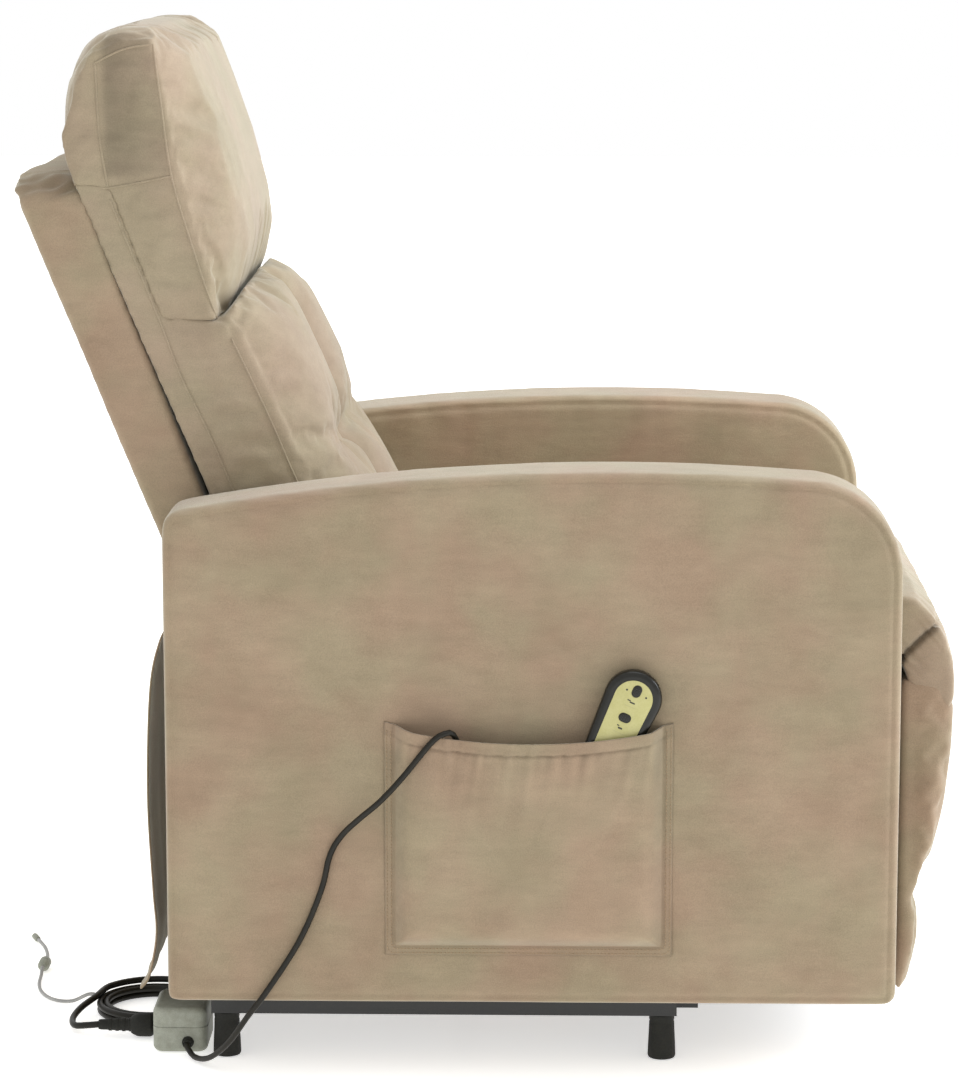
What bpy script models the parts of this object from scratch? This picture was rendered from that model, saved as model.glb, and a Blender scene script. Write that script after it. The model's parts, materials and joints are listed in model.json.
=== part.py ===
"""Lift recliner chair: a steel base on four feet, a lifting linkage, an upholstered seat box,
a reclining back, a fold-out legrest and a corded two-button handset in a side pocket.

Metres, +Z up, floor at z = 0. The chair faces -Y, and the pocket side is -X.
"""
import math

import bmesh
import bpy
from mathutils import Vector

# ---- overall sizes -------------------------------------------------------------------------
SEAT_WIDTH = 0.500            # clear width between the two arms
ARM_WIDTH = 0.100
ARM_FRONT_Y = -0.4075
ARM_REAR_Y = 0.329
ARM_BOTTOM_Z = 0.078
ARM_CROWN_Z = 0.625           # highest point of the arm's long curve
ARM_CROWN_Y = -0.120
ARM_CROWN_FALL = 0.208        # the curve drops by this times the square of the distance
ARM_FRONT_RADIUS = 0.098
ARM_REAR_RADIUS = 0.022
ARM_SOFTNESS = 0.012
BACK_HEIGHT = 0.427           # upholstered outer back, along its slope
BACK_SLOPE = math.radians(22.0)
GAP = 0.0003                  # between pieces that touch
FIT = 0.0004                  # between a pin and its hole
SIDE_GAP = 0.003              # between a moving cushion and an arm

# ---- pocket and the centring of the whole chair --------------------------------------------
HANDSET_THICK = 0.018
POCKET_EASE = 0.00175         # between the handset and each wall of the pocket
POCKET_FRONT_Y = -0.179
POCKET_REAR_Y = 0.110
POCKET_BOTTOM_Z = 0.133
POCKET_TOP_Z = 0.373
POCKET_SAG = 0.017
POCKET_WALL = 0.0015
POCKET_DEPTH = HANDSET_THICK + 2 * (POCKET_EASE + POCKET_WALL)
CHAIR_X = POCKET_DEPTH / 2    # moves the box's middle onto the origin

# ---- base ----------------------------------------------------------------------------------
FOOT_X = SEAT_WIDTH / 2 + 0.012
FOOT_FRONT_Y = -0.172
FOOT_REAR_Y = 0.279
FOOT_RADIUS = 0.0145
FOOT_HEIGHT = 0.0475
RAIL_WIDTH = 0.030
RAIL_HEIGHT = 0.026
TUBE_WALL = 0.002
RAIL_OVERHANG = 0.015
CROSSBAR_FRONT_Y = -0.142
PLAN_HEIGHT = 0.0735          # foot and rail together, for which the heights above them are given

# ---- linkage pivots (y, z) -----------------------------------------------------------------
LIFT_PIVOT = (-0.080, 0.095)      # lift arm on the base
LIFT_TOP = (0.270, 0.120)         # seat box on the lift arm
GUIDE_PIVOT = (-0.193, 0.085)     # front guide link on the base
GUIDE_TOP = (0.000, 0.100)        # its upper end on the seat box
GUIDE_CLEARANCE = 0.003
TIE_PLACE = (0.100, 0.1079)       # tube that ties the two lift arms
MOTOR_PIVOT = (-0.300, 0.280)
RECLINE_PIVOT = (0.262, 0.435)
LEGREST_PIVOT = (-0.405, 0.425)
LEGREST_LUG = (0.050, -0.110)     # from the legrest pivot to its drive pin
FOLD_PIVOT = (-0.140, 0.320)      # shaft that drives the legrest

# ---- layers of plates, measured out from the middle of the chair ----------------------------
PLATE = 0.004
LAYER = 0.008                   # from one plate of the lifting linkage to the next
BASE_PLATE_X = SEAT_WIDTH / 2 - 0.0055
LIFT_ARM_X = BASE_PLATE_X - LAYER
GUIDE_X = LIFT_ARM_X - LAYER
SIDE_PLATE_X = GUIDE_X - LAYER
BRACKET_X = SIDE_PLATE_X - PLATE - 0.0020
DRIVE_X = BRACKET_X - PLATE - 0.0035
LIFT_ARM_PLATE = 0.006
LINK_RADIUS = 0.017
GUIDE_RADIUS = 0.0115           # at its lower end, over the front crossbar
PIN_RADIUS = 0.008
SMALL_PIN_RADIUS = 0.006
PIN_END = 0.001                 # a pin sticks out by this, or a few times this
GUIDE_PIN_RADIUS = 0.006
TIE_RADIUS = 0.010

# ---- actuator ------------------------------------------------------------------------------
MOTOR_LENGTH = 0.060            # behind its pin
MOTOR_NOSE = 0.0176             # in front of its pin
MOTOR_WIDTH = 0.045
MOTOR_HEIGHT = 0.044
MOTOR_CAN_RADIUS = 0.019
MOTOR_CAN_LENGTH = 0.085
CAN_CLEARANCE = 0.002
ACTUATOR_TUBE_RADIUS = 0.016
ROD_RADIUS = 0.0095
ROD_CLEARANCE = 0.0015
ROD_EYE_WALL = 0.006
ROD_EYE_CLEARANCE = 0.0085
ROD_STICKS_OUT = 0.045
CLEVIS_RADIUS = 0.012
CLEVIS_FOOT_RADIUS = 0.0084     # where it meets the front seat rail
CHEEK_CLEARANCE = 0.001

# ---- seat ----------------------------------------------------------------------------------
SEAT_RAIL_FRONT_Y = -0.330
SEAT_RAIL_REAR_Y = 0.195
SEAT_RAIL_Z = 0.346
SEAT_RAIL_SIZE = 0.022
DECK_THICK = 0.006
SEAT_SOFTNESS = 0.018
CUSHION_SOFTNESS = 0.022
BACK_START = 0.083            # lower edge of the outer back, up the slope from its pivot
BACK_PANEL = 0.026
BACK_RIM = 0.034              # padding above the back panel
BACK_TOP_FALL = 0.022         # the top edge slopes down towards the cushions
FLAP_THICK = 0.003
BOARD_THICK = 0.015
BOARD_BOTTOM_Z = 0.075

# ---- handset, laid in the pocket with its head leaning forwards ------------------------------
HANDSET_MIDDLE = (-0.1193, 0.3590)
HANDSET_TILT = math.radians(24.0)
HEAD_RADIUS = 0.029
HEAD_CENTRE = 0.046            # up the handset from its middle
TAIL_RADIUS = 0.0225
TAIL_CENTRE = -0.0525
FACE_MARGIN = 0.0095
TAIL_MARGIN = 0.0065
FACE_DEPTH = 0.0015
BUTTON_LONG = 0.012
BUTTON_SHORT = 0.0085
BUTTON_UP = 0.0552
BUTTON_DOWN = 0.0260
BUTTON_TRAVEL = 0.001
BUTTON_PROUD = 0.0014
BUTTON_FIT = 0.0004

# ---- cables and the power supply -----------------------------------------------------------
CORD_RADIUS = 0.003
MAINS_RADIUS = 0.0035
AUX_RADIUS = 0.002
SUPPLY_SIZE = (0.077, 0.057, 0.048)
SUPPLY_AT = (-0.2235, 0.3285)
COIL_AT = (-0.112, 0.372)
COIL_OUTER = 0.068
COIL_INNER = 0.040
COIL_HEIGHT = 0.026
PLUG_AT = (-0.205, 0.362)
PLUG_LENGTH = 0.058
COUPLING_AT = (0.031, 0.512)
COUPLING_LENGTH = 0.026
CONNECTOR_AT = (0.152, 0.534)
CONNECTOR_LENGTH = 0.016

CHARCOAL = (0.016, 0.016, 0.014)

for old in list(bpy.data.objects):
    bpy.data.objects.remove(old, do_unlink=True)


# ---- materials -----------------------------------------------------------------------------
def material(name, colour, roughness, metallic=0.0):
    made = bpy.data.materials.new(name)
    made.use_nodes = True
    shader = made.node_tree.nodes["Principled BSDF"]
    shader.inputs["Base Color"].default_value = (*colour, 1.0)
    shader.inputs["Roughness"].default_value = roughness
    shader.inputs["Metallic"].default_value = metallic
    made.diffuse_color = (*colour, 1.0)
    return made


VELVET = material("beige_velvet", (0.39, 0.31, 0.22), 0.95)
VELVET_LIGHT = material("beige_velvet_head", (0.44, 0.36, 0.26), 0.95)
STEEL = material("black_steel", (0.02, 0.02, 0.02), 0.45, 0.6)
ZINC = material("zinc_steel", (0.55, 0.56, 0.57), 0.35, 1.0)
WOOD = material("plywood", (0.50, 0.36, 0.20), 0.7)
RUBBER = material("black_rubber", CHARCOAL, 0.8)
BLACK_PLASTIC = material("black_plastic", (0.02, 0.02, 0.02), 0.25)
CREAM_PLASTIC = material("cream_plastic", (0.56, 0.50, 0.31), 0.4)
GREY_PLASTIC = material("grey_plastic", (0.28, 0.29, 0.26), 0.5)
GREY_CABLE = material("grey_cable", (0.35, 0.35, 0.33), 0.5)


# ---- the tree of pivots --------------------------------------------------------------------
def empty(name, parent, place=(0.0, 0.0, 0.0), turn_x=0.0):
    made = bpy.data.objects.new(name, None)
    bpy.context.collection.objects.link(made)
    made.location = place
    made.rotation_euler = (turn_x, 0.0, 0.0)
    made.parent = parent
    return made


def pivot(name, place):
    return empty(name, above_base, (0.0, *place))


chair = empty("chair", None, (CHAIR_X, 0.0, 0.0))
base = empty("base_frame", chair)
above_base = empty("above_base", chair, (0.0, 0.0, FOOT_HEIGHT + RAIL_HEIGHT - PLAN_HEIGHT))
lift_axis = pivot("lift_axis", LIFT_PIVOT)
guide_axis = pivot("guide_axis", GUIDE_PIVOT)
seat_box = pivot("seat_box", LIFT_TOP)
motor_axis = pivot("motor_axis", MOTOR_PIVOT)
recline_axis = pivot("recline_axis", RECLINE_PIVOT)
back_slope = empty("back_slope", recline_axis, turn_x=-BACK_SLOPE)
legrest_axis = pivot("legrest_axis", LEGREST_PIVOT)
fold_axis = pivot("fold_axis", FOLD_PIVOT)
drive_place = (FOLD_PIVOT[0] + LEGREST_LUG[0], FOLD_PIVOT[1] + LEGREST_LUG[1])
drive_axis = pivot("drive_axis", drive_place)


def place(made, parent, at, turn=(0.0, 0.0, 0.0), local=False):
    """Puts an object at a place of the chair, or of its parent where local is set."""
    whole = local or parent in (chair, above_base)
    origin = Vector((0.0, 0.0, 0.0)) if whole else parent.location
    made.parent = parent
    made.location = Vector(at) - origin
    made.rotation_euler = turn
    return made


def add_mesh(name, bm, look, smooth=True):
    bmesh.ops.recalc_face_normals(bm, faces=bm.faces[:])
    mesh = bpy.data.meshes.new(name)
    bm.to_mesh(mesh)
    bm.free()
    mesh.materials.append(look)
    if smooth:
        mesh.shade_smooth()
        mesh.set_sharp_from_angle(angle=math.radians(35.0))
    made = bpy.data.objects.new(name, mesh)
    bpy.context.collection.objects.link(made)
    return made


def cutter(name, bm, parent, at, turn=(0.0, 0.0, 0.0), local=False):
    made = place(add_mesh(name, bm, STEEL, False), parent, at, turn, local)
    made.hide_render = True
    made.display_type = "WIRE"
    return made


def boolean(target, tool, operation="DIFFERENCE"):
    cut = target.modifiers.new(operation.lower(), "BOOLEAN")
    cut.operation = operation
    cut.object = tool


# ---- outlines in the (y, z) plane ----------------------------------------------------------
def arc(centre, radius, start, end, steps):
    """Points along an arc, in degrees from +y towards +z."""
    angles = [math.radians(start + (end - start) * i / steps) for i in range(steps + 1)]
    return [(centre[0] + radius * math.cos(a), centre[1] + radius * math.sin(a)) for a in angles]


def circle(centre, radius, steps):
    return arc(centre, radius, 0.0, 360.0, steps)[:-1]


def rectangle(low_y, low_z, high_y, high_z):
    return [(low_y, low_z), (high_y, low_z), (high_y, high_z), (low_y, high_z)]


def shift(points, by):
    return [(y - by[0], z - by[1]) for y, z in points]


def inset(points, amount):
    """The outline with every side moved in by the same amount."""
    area = sum(a[0] * b[1] - b[0] * a[1] for a, b in zip(points, points[1:] + points[:1]))
    side = math.copysign(amount, area)
    moved = []
    for i, here in enumerate(points):
        before = Vector(here) - Vector(points[i - 1])
        after = Vector(points[(i + 1) % len(points)]) - Vector(here)
        normals = [Vector((-edge.y, edge.x)).normalized() for edge in (before, after)]
        middle = (normals[0] + normals[1]).normalized()
        moved.append(tuple(Vector(here) + middle * side / max(0.5, middle.dot(normals[0]))))
    return moved


# ---- solids --------------------------------------------------------------------------------
def loft(sections):
    """A closed solid through (x, outline) sections that all have the same number of points."""
    bm = bmesh.new()
    loops = [[bm.verts.new((x, y, z)) for y, z in outline] for x, outline in sections]
    count = len(loops[0])
    for near, far in zip(loops, loops[1:]):
        for i in range(count):
            j = (i + 1) % count
            bm.faces.new((near[i], near[j], far[j], far[i]))
    bm.faces.new(loops[0])
    bm.faces.new(loops[-1])
    return bm


def pillow(outline, half_width, softness):
    """A cushion: the outline across the width, with rounded long edges."""
    steps = ((0.0, 1.0), (0.3, 0.3), (1.0, 0.0))
    near = [(-half_width + softness * x, inset(outline, softness * d)) for x, d in steps]
    far = [(-x, points) for x, points in reversed(near)]
    return loft(near + far)


def plate(outline, holes, thickness):
    """A flat plate in the (y, z) plane with holes through it, centred on x = 0."""
    bm = bmesh.new()
    edges = []
    for points in [outline] + holes:
        loop = [bm.verts.new((-thickness / 2, y, z)) for y, z in points]
        edges += [bm.edges.new(pair) for pair in zip(loop, loop[1:] + loop[:1])]
    bmesh.ops.triangle_fill(bm, use_beauty=True, edges=edges)
    grown = bmesh.ops.extrude_face_region(bm, geom=bm.faces[:])
    moved = [v for v in grown["geom"] if isinstance(v, bmesh.types.BMVert)]
    bmesh.ops.translate(bm, vec=(thickness, 0.0, 0.0), verts=moved)
    return bm


def bar(length, radius, bore=0.0, steps=12):
    """A round bar along X, or a pipe where it has a bore."""
    holes = [circle((0.0, 0.0), bore, steps)] if bore else []
    return plate(circle((0.0, 0.0), radius, steps), holes, length)


def block(size_x, size_y, size_z):
    return plate(rectangle(-size_y / 2, -size_z / 2, size_y / 2, size_z / 2), [], size_x)


def box_tube(length, width, height):
    """A rectangular steel tube along X."""
    outer = rectangle(-width / 2, -height / 2, width / 2, height / 2)
    return plate(outer, [inset(outer, TUBE_WALL)], length)


def link_outline(start, end, start_radius, end_radius):
    """A bar with round ends, from one pivot to the other."""
    heading = math.degrees(math.atan2(end[1] - start[1], end[0] - start[0]))
    return (arc(end, end_radius, heading - 90.0, heading + 90.0, 6)
            + arc(start, start_radius, heading + 90.0, heading + 270.0, 6))


def turned(profile, steps):
    """A solid of revolution about Z, from (radius, height) points on its outline."""
    bm = bmesh.new()
    rings = []
    for radius, height in profile:
        if radius == 0.0:
            rings.append([bm.verts.new((0.0, 0.0, height))] * steps)
            continue
        angles = [math.tau * i / steps for i in range(steps)]
        rings.append([bm.verts.new((radius * math.cos(a), radius * math.sin(a), height))
                      for a in angles])
    for low, high in zip(rings, rings[1:]):
        for i in range(steps):
            corners = dict.fromkeys((low[i], low[(i + 1) % steps], high[(i + 1) % steps], high[i]))
            bm.faces.new(list(corners))
    return bm


# ---- base ----------------------------------------------------------------------------------
SIDES = (("left", -1.0), ("right", 1.0))
rail_z = FOOT_HEIGHT + GAP + RAIL_HEIGHT / 2
rail_length = FOOT_REAR_Y - FOOT_FRONT_Y + 2 * RAIL_OVERHANG
rail_middle = (FOOT_REAR_Y + FOOT_FRONT_Y) / 2
rail_inner_x = FOOT_X - RAIL_WIDTH / 2
quarter = math.pi / 2


def make_foot(name, side, y):
    profile = [(0.0, 0.0), (FOOT_RADIUS * 0.8, 0.0), (FOOT_RADIUS, FOOT_RADIUS * 0.25),
               (FOOT_RADIUS * 0.97, FOOT_HEIGHT * 0.4), (FOOT_RADIUS * 0.85, FOOT_HEIGHT),
               (0.0, FOOT_HEIGHT)]
    place(add_mesh(name, turned(profile, 14), RUBBER), base, (side * FOOT_X, y, 0.0))


for side_name, side in SIDES:
    rail = add_mesh("base_rail_" + side_name, box_tube(rail_length, RAIL_WIDTH, RAIL_HEIGHT), STEEL)
    place(rail, base, (side * FOOT_X, rail_middle, rail_z), (0.0, 0.0, quarter))
    make_foot("foot_front_" + side_name, side, FOOT_FRONT_Y)
    make_foot("foot_rear_" + side_name, side, FOOT_REAR_Y)

    low_z = rail_z - RAIL_HEIGHT / 2 - above_base.location.z
    ears = (arc(LIFT_PIVOT, LINK_RADIUS, 0.0, 120.0, 5) + arc(GUIDE_PIVOT, LINK_RADIUS, 60.0, 180.0, 5))
    outline = ([(GUIDE_PIVOT[0] - LINK_RADIUS, low_z), (LIFT_PIVOT[0] + LINK_RADIUS, low_z)] + ears)
    holes = [circle(GUIDE_PIVOT, GUIDE_PIN_RADIUS + FIT, 12)]
    bracket = add_mesh("base_bracket_" + side_name, plate(outline, holes, PLATE), STEEL)
    place(bracket, above_base, (side * BASE_PLATE_X, 0.0, 0.0))
    stub_x = side * (GUIDE_X + PLATE / 2 + GAP + BASE_PLATE_X) / 2
    stub = bar(BASE_PLATE_X - GUIDE_X - PLATE / 2 - GAP, PIN_RADIUS)
    stub = cutter("lift_stub_" + side_name, stub, above_base, (stub_x, *LIFT_PIVOT))
    boolean(bracket, stub, "UNION")

bracket_inner_x = BASE_PLATE_X - PLATE / 2
crossbars = (("front", CROSSBAR_FRONT_Y, bracket_inner_x), ("rear", FOOT_REAR_Y, rail_inner_x))
for end_name, y, half in crossbars:
    crossbar = box_tube(2 * (half - GAP), RAIL_WIDTH, RAIL_HEIGHT)
    place(add_mesh("base_crossbar_" + end_name, crossbar, STEEL), base, (0.0, y, rail_z))


# ---- lifting linkage -----------------------------------------------------------------------
def make_link(name, x, start, end, radii, holes, thickness, parent):
    """A flat link in the layer at x; its holes are (centre, radius) pairs."""
    outline = shift(link_outline(start, end, *radii), start)
    cuts = [shift(circle(centre, radius, 14), start) for centre, radius in holes]
    return place(add_mesh(name, plate(outline, cuts, thickness), STEEL), parent, (x, *start))


def make_shaft(name, half_length, at, radius, parent):
    return place(add_mesh(name, bar(2 * half_length, radius), ZINC), parent, (0.0, *at))


for side_name, side in SIDES:
    lift_holes = [(LIFT_PIVOT, PIN_RADIUS + FIT), (TIE_PLACE, TIE_RADIUS + FIT),
                  (LIFT_TOP, PIN_RADIUS + FIT)]
    make_link("lift_arm_" + side_name, side * LIFT_ARM_X, LIFT_PIVOT, LIFT_TOP,
              (LINK_RADIUS, LINK_RADIUS), lift_holes, LIFT_ARM_PLATE, lift_axis)
    guide_holes = [(GUIDE_PIVOT, GUIDE_PIN_RADIUS + FIT), (GUIDE_TOP, PIN_RADIUS + GUIDE_CLEARANCE)]
    make_link("guide_link_" + side_name, side * GUIDE_X, GUIDE_PIVOT, GUIDE_TOP,
              (GUIDE_RADIUS, LINK_RADIUS), guide_holes, PLATE, guide_axis)

make_shaft("guide_shaft", rail_inner_x - GAP, GUIDE_PIVOT, GUIDE_PIN_RADIUS, guide_axis)
make_shaft("lift_tie_tube", LIFT_ARM_X + LIFT_ARM_PLATE / 2, TIE_PLACE, TIE_RADIUS, lift_axis)


# ---- actuator ------------------------------------------------------------------------------
# its own frame has the motor's pin at the origin and the rod running back along +Y to the tie tube
reach = math.dist(MOTOR_PIVOT, TIE_PLACE)
lean = math.atan2(TIE_PLACE[1] - MOTOR_PIVOT[1], TIE_PLACE[0] - MOTOR_PIVOT[0])
actuator = empty("actuator_line", motor_axis, turn_x=lean)
lengthwise = (0.0, 0.0, quarter)

housing_outline = rectangle(-MOTOR_NOSE, -MOTOR_HEIGHT / 2, MOTOR_LENGTH, MOTOR_HEIGHT / 2)
housing = add_mesh("actuator_housing", pillow(housing_outline, MOTOR_WIDTH / 2, 0.004), BLACK_PLASTIC)
place(housing, actuator, (0.0, 0.0, 0.0), local=True)
can_x = ACTUATOR_TUBE_RADIUS + MOTOR_CAN_RADIUS + CAN_CLEARANCE
can_y = CLEVIS_RADIUS + 4 * CAN_CLEARANCE + MOTOR_CAN_LENGTH / 2
can = cutter("motor_can", bar(MOTOR_CAN_LENGTH, MOTOR_CAN_RADIUS, steps=16), actuator,
             (can_x, can_y, 0.0), lengthwise, local=True)
bore = cutter("motor_bore", bar(2 * MOTOR_WIDTH, SMALL_PIN_RADIUS + FIT), actuator,
              (0.0, 0.0, 0.0), local=True)
boolean(housing, can, "UNION")
boolean(housing, bore)

tube_start = MOTOR_LENGTH + GAP
tube_end = reach - TIE_RADIUS - ROD_STICKS_OUT
outer_tube = bar(tube_end - tube_start, ACTUATOR_TUBE_RADIUS, ROD_RADIUS + ROD_CLEARANCE, 14)
place(add_mesh("actuator_tube", outer_tube, BLACK_PLASTIC), actuator,
      (0.0, (tube_start + tube_end) / 2, 0.0), lengthwise, local=True)
eye_hole = TIE_RADIUS + ROD_EYE_CLEARANCE
rod_start = MOTOR_LENGTH + 0.012
rod_end = reach - eye_hole - ROD_EYE_WALL / 2
rod = place(add_mesh("actuator_rod", bar(rod_end - rod_start, ROD_RADIUS), ZINC), actuator,
            (0.0, (rod_start + rod_end) / 2, 0.0), lengthwise, local=True)
eye_plate = plate(circle((0.0, 0.0), eye_hole + ROD_EYE_WALL, 18), [circle((0.0, 0.0), eye_hole, 18)],
                  ROD_RADIUS * 1.6)
boolean(rod, cutter("rod_eye", eye_plate, actuator, (0.0, reach, 0.0), local=True), "UNION")

clevis_foot = (SEAT_RAIL_FRONT_Y, SEAT_RAIL_Z - SEAT_RAIL_SIZE / 2 - GAP - CLEVIS_FOOT_RADIUS)
clevis_x = MOTOR_WIDTH / 2 + CHEEK_CLEARANCE + PLATE / 2
clevis = make_link("motor_clevis", -clevis_x, MOTOR_PIVOT, clevis_foot,
                   (CLEVIS_RADIUS, CLEVIS_FOOT_RADIUS), [], PLATE, seat_box)
cheek_outline = link_outline(MOTOR_PIVOT, clevis_foot, CLEVIS_RADIUS, CLEVIS_FOOT_RADIUS)
cheek_outline = shift(cheek_outline, MOTOR_PIVOT)
cheek = cutter("clevis_cheek", plate(cheek_outline, [], PLATE), seat_box, (clevis_x, *MOTOR_PIVOT))
clevis_pin = cutter("clevis_pin", bar(2 * clevis_x, SMALL_PIN_RADIUS), seat_box, (0.0, *MOTOR_PIVOT))
bridge = cutter("clevis_bridge", block(2 * clevis_x, CLEVIS_RADIUS, CLEVIS_FOOT_RADIUS), seat_box,
                (0.0, *clevis_foot))
for tool in (cheek, clevis_pin, bridge):
    boolean(clevis, tool, "UNION")


# ---- seat box ------------------------------------------------------------------------------
deck_top_z = SEAT_RAIL_Z + SEAT_RAIL_SIZE / 2
arch_z = LIFT_TOP[1] + 0.018
plate_outline = (arc(GUIDE_TOP, LINK_RADIUS, 180.0, 360.0, 8)
                 + [(GUIDE_TOP[0] + 0.030, arch_z), (LIFT_TOP[0] - 0.035, arch_z)]
                 + arc(LIFT_TOP, LINK_RADIUS, 180.0, 360.0, 8)
                 + arc(RECLINE_PIVOT, LINK_RADIUS, 0.0, 180.0, 8)
                 + [(RECLINE_PIVOT[0] - LINK_RADIUS, deck_top_z)]
                 + [(SEAT_RAIL_FRONT_Y - 0.022, deck_top_z)]
                 + arc(LEGREST_PIVOT, 0.0145, 10.0, 290.0, 9)
                 + [(LEGREST_PIVOT[0] + 0.014, LEGREST_PIVOT[1] - 0.022)]
                 + [(SEAT_RAIL_FRONT_Y - 0.040, SEAT_RAIL_Z - 0.050)]
                 + [(FOLD_PIVOT[0] + 0.020, FOLD_PIVOT[1] - 0.060)])
plate_holes = [circle(LIFT_TOP, PIN_RADIUS + FIT, 12),
               circle(RECLINE_PIVOT, PIN_RADIUS + FIT, 12), circle(FOLD_PIVOT, PIN_RADIUS + FIT, 12),
               circle(LEGREST_PIVOT, SMALL_PIN_RADIUS + FIT, 12)]
arm_rail_size = SEAT_WIDTH / 2 - SIDE_PLATE_X - PLATE / 2 - 2 * GAP
for side_name, side in SIDES:
    side_plate = plate(shift(plate_outline, LIFT_TOP), [shift(h, LIFT_TOP) for h in plate_holes], PLATE)
    side_plate = place(add_mesh("seat_side_plate_" + side_name, side_plate, STEEL), seat_box,
                       (side * SIDE_PLATE_X, *LIFT_TOP))
    stub_end_x = GUIDE_X + PLATE / 2 + PIN_END
    stub = bar(stub_end_x - SIDE_PLATE_X, PIN_RADIUS)
    stub_x = side * (stub_end_x + SIDE_PLATE_X) / 2
    boolean(side_plate, cutter("guide_stub_" + side_name, stub, seat_box, (stub_x, *GUIDE_TOP)), "UNION")
    arm_rail_x = side * (SIDE_PLATE_X + PLATE / 2 + SEAT_WIDTH / 2) / 2
    arm_rail = box_tube(SEAT_RAIL_REAR_Y - SEAT_RAIL_FRONT_Y, arm_rail_size, SEAT_RAIL_SIZE)
    place(add_mesh("arm_rail_" + side_name, arm_rail, STEEL), seat_box,
          (arm_rail_x, (SEAT_RAIL_REAR_Y + SEAT_RAIL_FRONT_Y) / 2, SEAT_RAIL_Z), lengthwise)

rail_half = SIDE_PLATE_X - PLATE / 2 - GAP
for end_name, y in (("front", SEAT_RAIL_FRONT_Y), ("rear", SEAT_RAIL_REAR_Y)):
    seat_rail = box_tube(2 * rail_half, SEAT_RAIL_SIZE, SEAT_RAIL_SIZE)
    place(add_mesh("seat_rail_" + end_name, seat_rail, STEEL), seat_box, (0.0, y, SEAT_RAIL_Z))
deck_length = SEAT_RAIL_REAR_Y - SEAT_RAIL_FRONT_Y - SEAT_RAIL_SIZE - 2 * GAP
place(add_mesh("seat_deck", block(2 * rail_half, deck_length, DECK_THICK), WOOD), seat_box,
      (0.0, (SEAT_RAIL_REAR_Y + SEAT_RAIL_FRONT_Y) / 2, deck_top_z - DECK_THICK / 2))

short_half = SIDE_PLATE_X + PLATE / 2 + 3 * PIN_END
lift_half = LIFT_ARM_X + LIFT_ARM_PLATE / 2 + 4 * PIN_END
make_shaft("seat_rear_shaft", lift_half, LIFT_TOP, PIN_RADIUS, seat_box)
make_shaft("recline_shaft", short_half, RECLINE_PIVOT, PIN_RADIUS, seat_box)
make_shaft("legrest_shaft", short_half, LEGREST_PIVOT, SMALL_PIN_RADIUS, seat_box)

cushion_half = SEAT_WIDTH / 2 - SIDE_GAP
cushion_bottom_z = deck_top_z + 0.0035
seat_outline = [(0.170, cushion_bottom_z), (0.170, 0.468), (0.060, 0.482), (-0.150, 0.490),
                (-0.330, 0.490), (-0.385, 0.487), (-0.411, 0.479), (-0.419, 0.466),
                (-0.408, 0.452), (-0.350, 0.448), (-0.335, cushion_bottom_z)]
place(add_mesh("seat_cushion", pillow(shift(seat_outline, LIFT_TOP), cushion_half, SEAT_SOFTNESS),
               VELVET), seat_box, (0.0, *LIFT_TOP))


# ---- arms ----------------------------------------------------------------------------------
def crown_z(y):
    return ARM_CROWN_Z - ARM_CROWN_FALL * (y - ARM_CROWN_Y) ** 2


def arm_outline():
    corner_y = ARM_FRONT_Y + ARM_FRONT_RADIUS
    corner_z = crown_z(corner_y) - ARM_FRONT_RADIUS
    rear_y = ARM_REAR_Y - ARM_REAR_RADIUS
    rear_z = crown_z(rear_y) - ARM_REAR_RADIUS
    steps = 7
    crown = [corner_y + (rear_y - corner_y) * i / steps for i in range(1, steps)]
    return ([(ARM_REAR_Y, ARM_BOTTOM_Z)]
            + arc((rear_y, rear_z), ARM_REAR_RADIUS, 0.0, 90.0, 3)
            + [(y, crown_z(y)) for y in reversed(crown)]
            + arc((corner_y, corner_z), ARM_FRONT_RADIUS, 90.0, 180.0, 7)
            + [(ARM_FRONT_Y, ARM_BOTTOM_Z)])


arm_outer_x = SEAT_WIDTH / 2 + ARM_WIDTH
for side_name, side in SIDES:
    arm = pillow(shift(arm_outline(), LIFT_TOP), ARM_WIDTH / 2, ARM_SOFTNESS)
    place(add_mesh("arm_" + side_name, arm, VELVET), seat_box,
          (side * (SEAT_WIDTH + ARM_WIDTH) / 2, *LIFT_TOP))

pocket_middle = (POCKET_FRONT_Y + POCKET_REAR_Y) / 2
pocket_half = (POCKET_REAR_Y - POCKET_FRONT_Y) / 2


def pocket_outline(margin, top_extra):
    """The pocket's front view; its hem sags between the two sewn corners."""
    low = POCKET_BOTTOM_Z + margin
    steps = 8
    hem = []
    for i in range(steps + 1):
        across = 1.0 - 2.0 * i / steps
        sag = POCKET_SAG * (1.0 - across ** 2)
        hem.append((pocket_middle + (pocket_half - margin) * across, POCKET_TOP_Z - sag + top_extra))
    return hem + [(POCKET_FRONT_Y + margin, low), (POCKET_REAR_Y - margin, low)]


pocket_x = -arm_outer_x - GAP - POCKET_DEPTH / 2
pocket_at = (pocket_middle, POCKET_BOTTOM_Z)
pocket = add_mesh("pocket", plate(shift(pocket_outline(0.0, 0.0), pocket_at), [], POCKET_DEPTH), VELVET)
place(pocket, seat_box, (pocket_x, *pocket_at))
pouch = plate(shift(pocket_outline(POCKET_WALL * 2, 0.05), pocket_at), [], POCKET_DEPTH - 2 * POCKET_WALL)
boolean(pocket, cutter("pouch_hollow", pouch, seat_box, (pocket_x, *pocket_at)))

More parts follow.
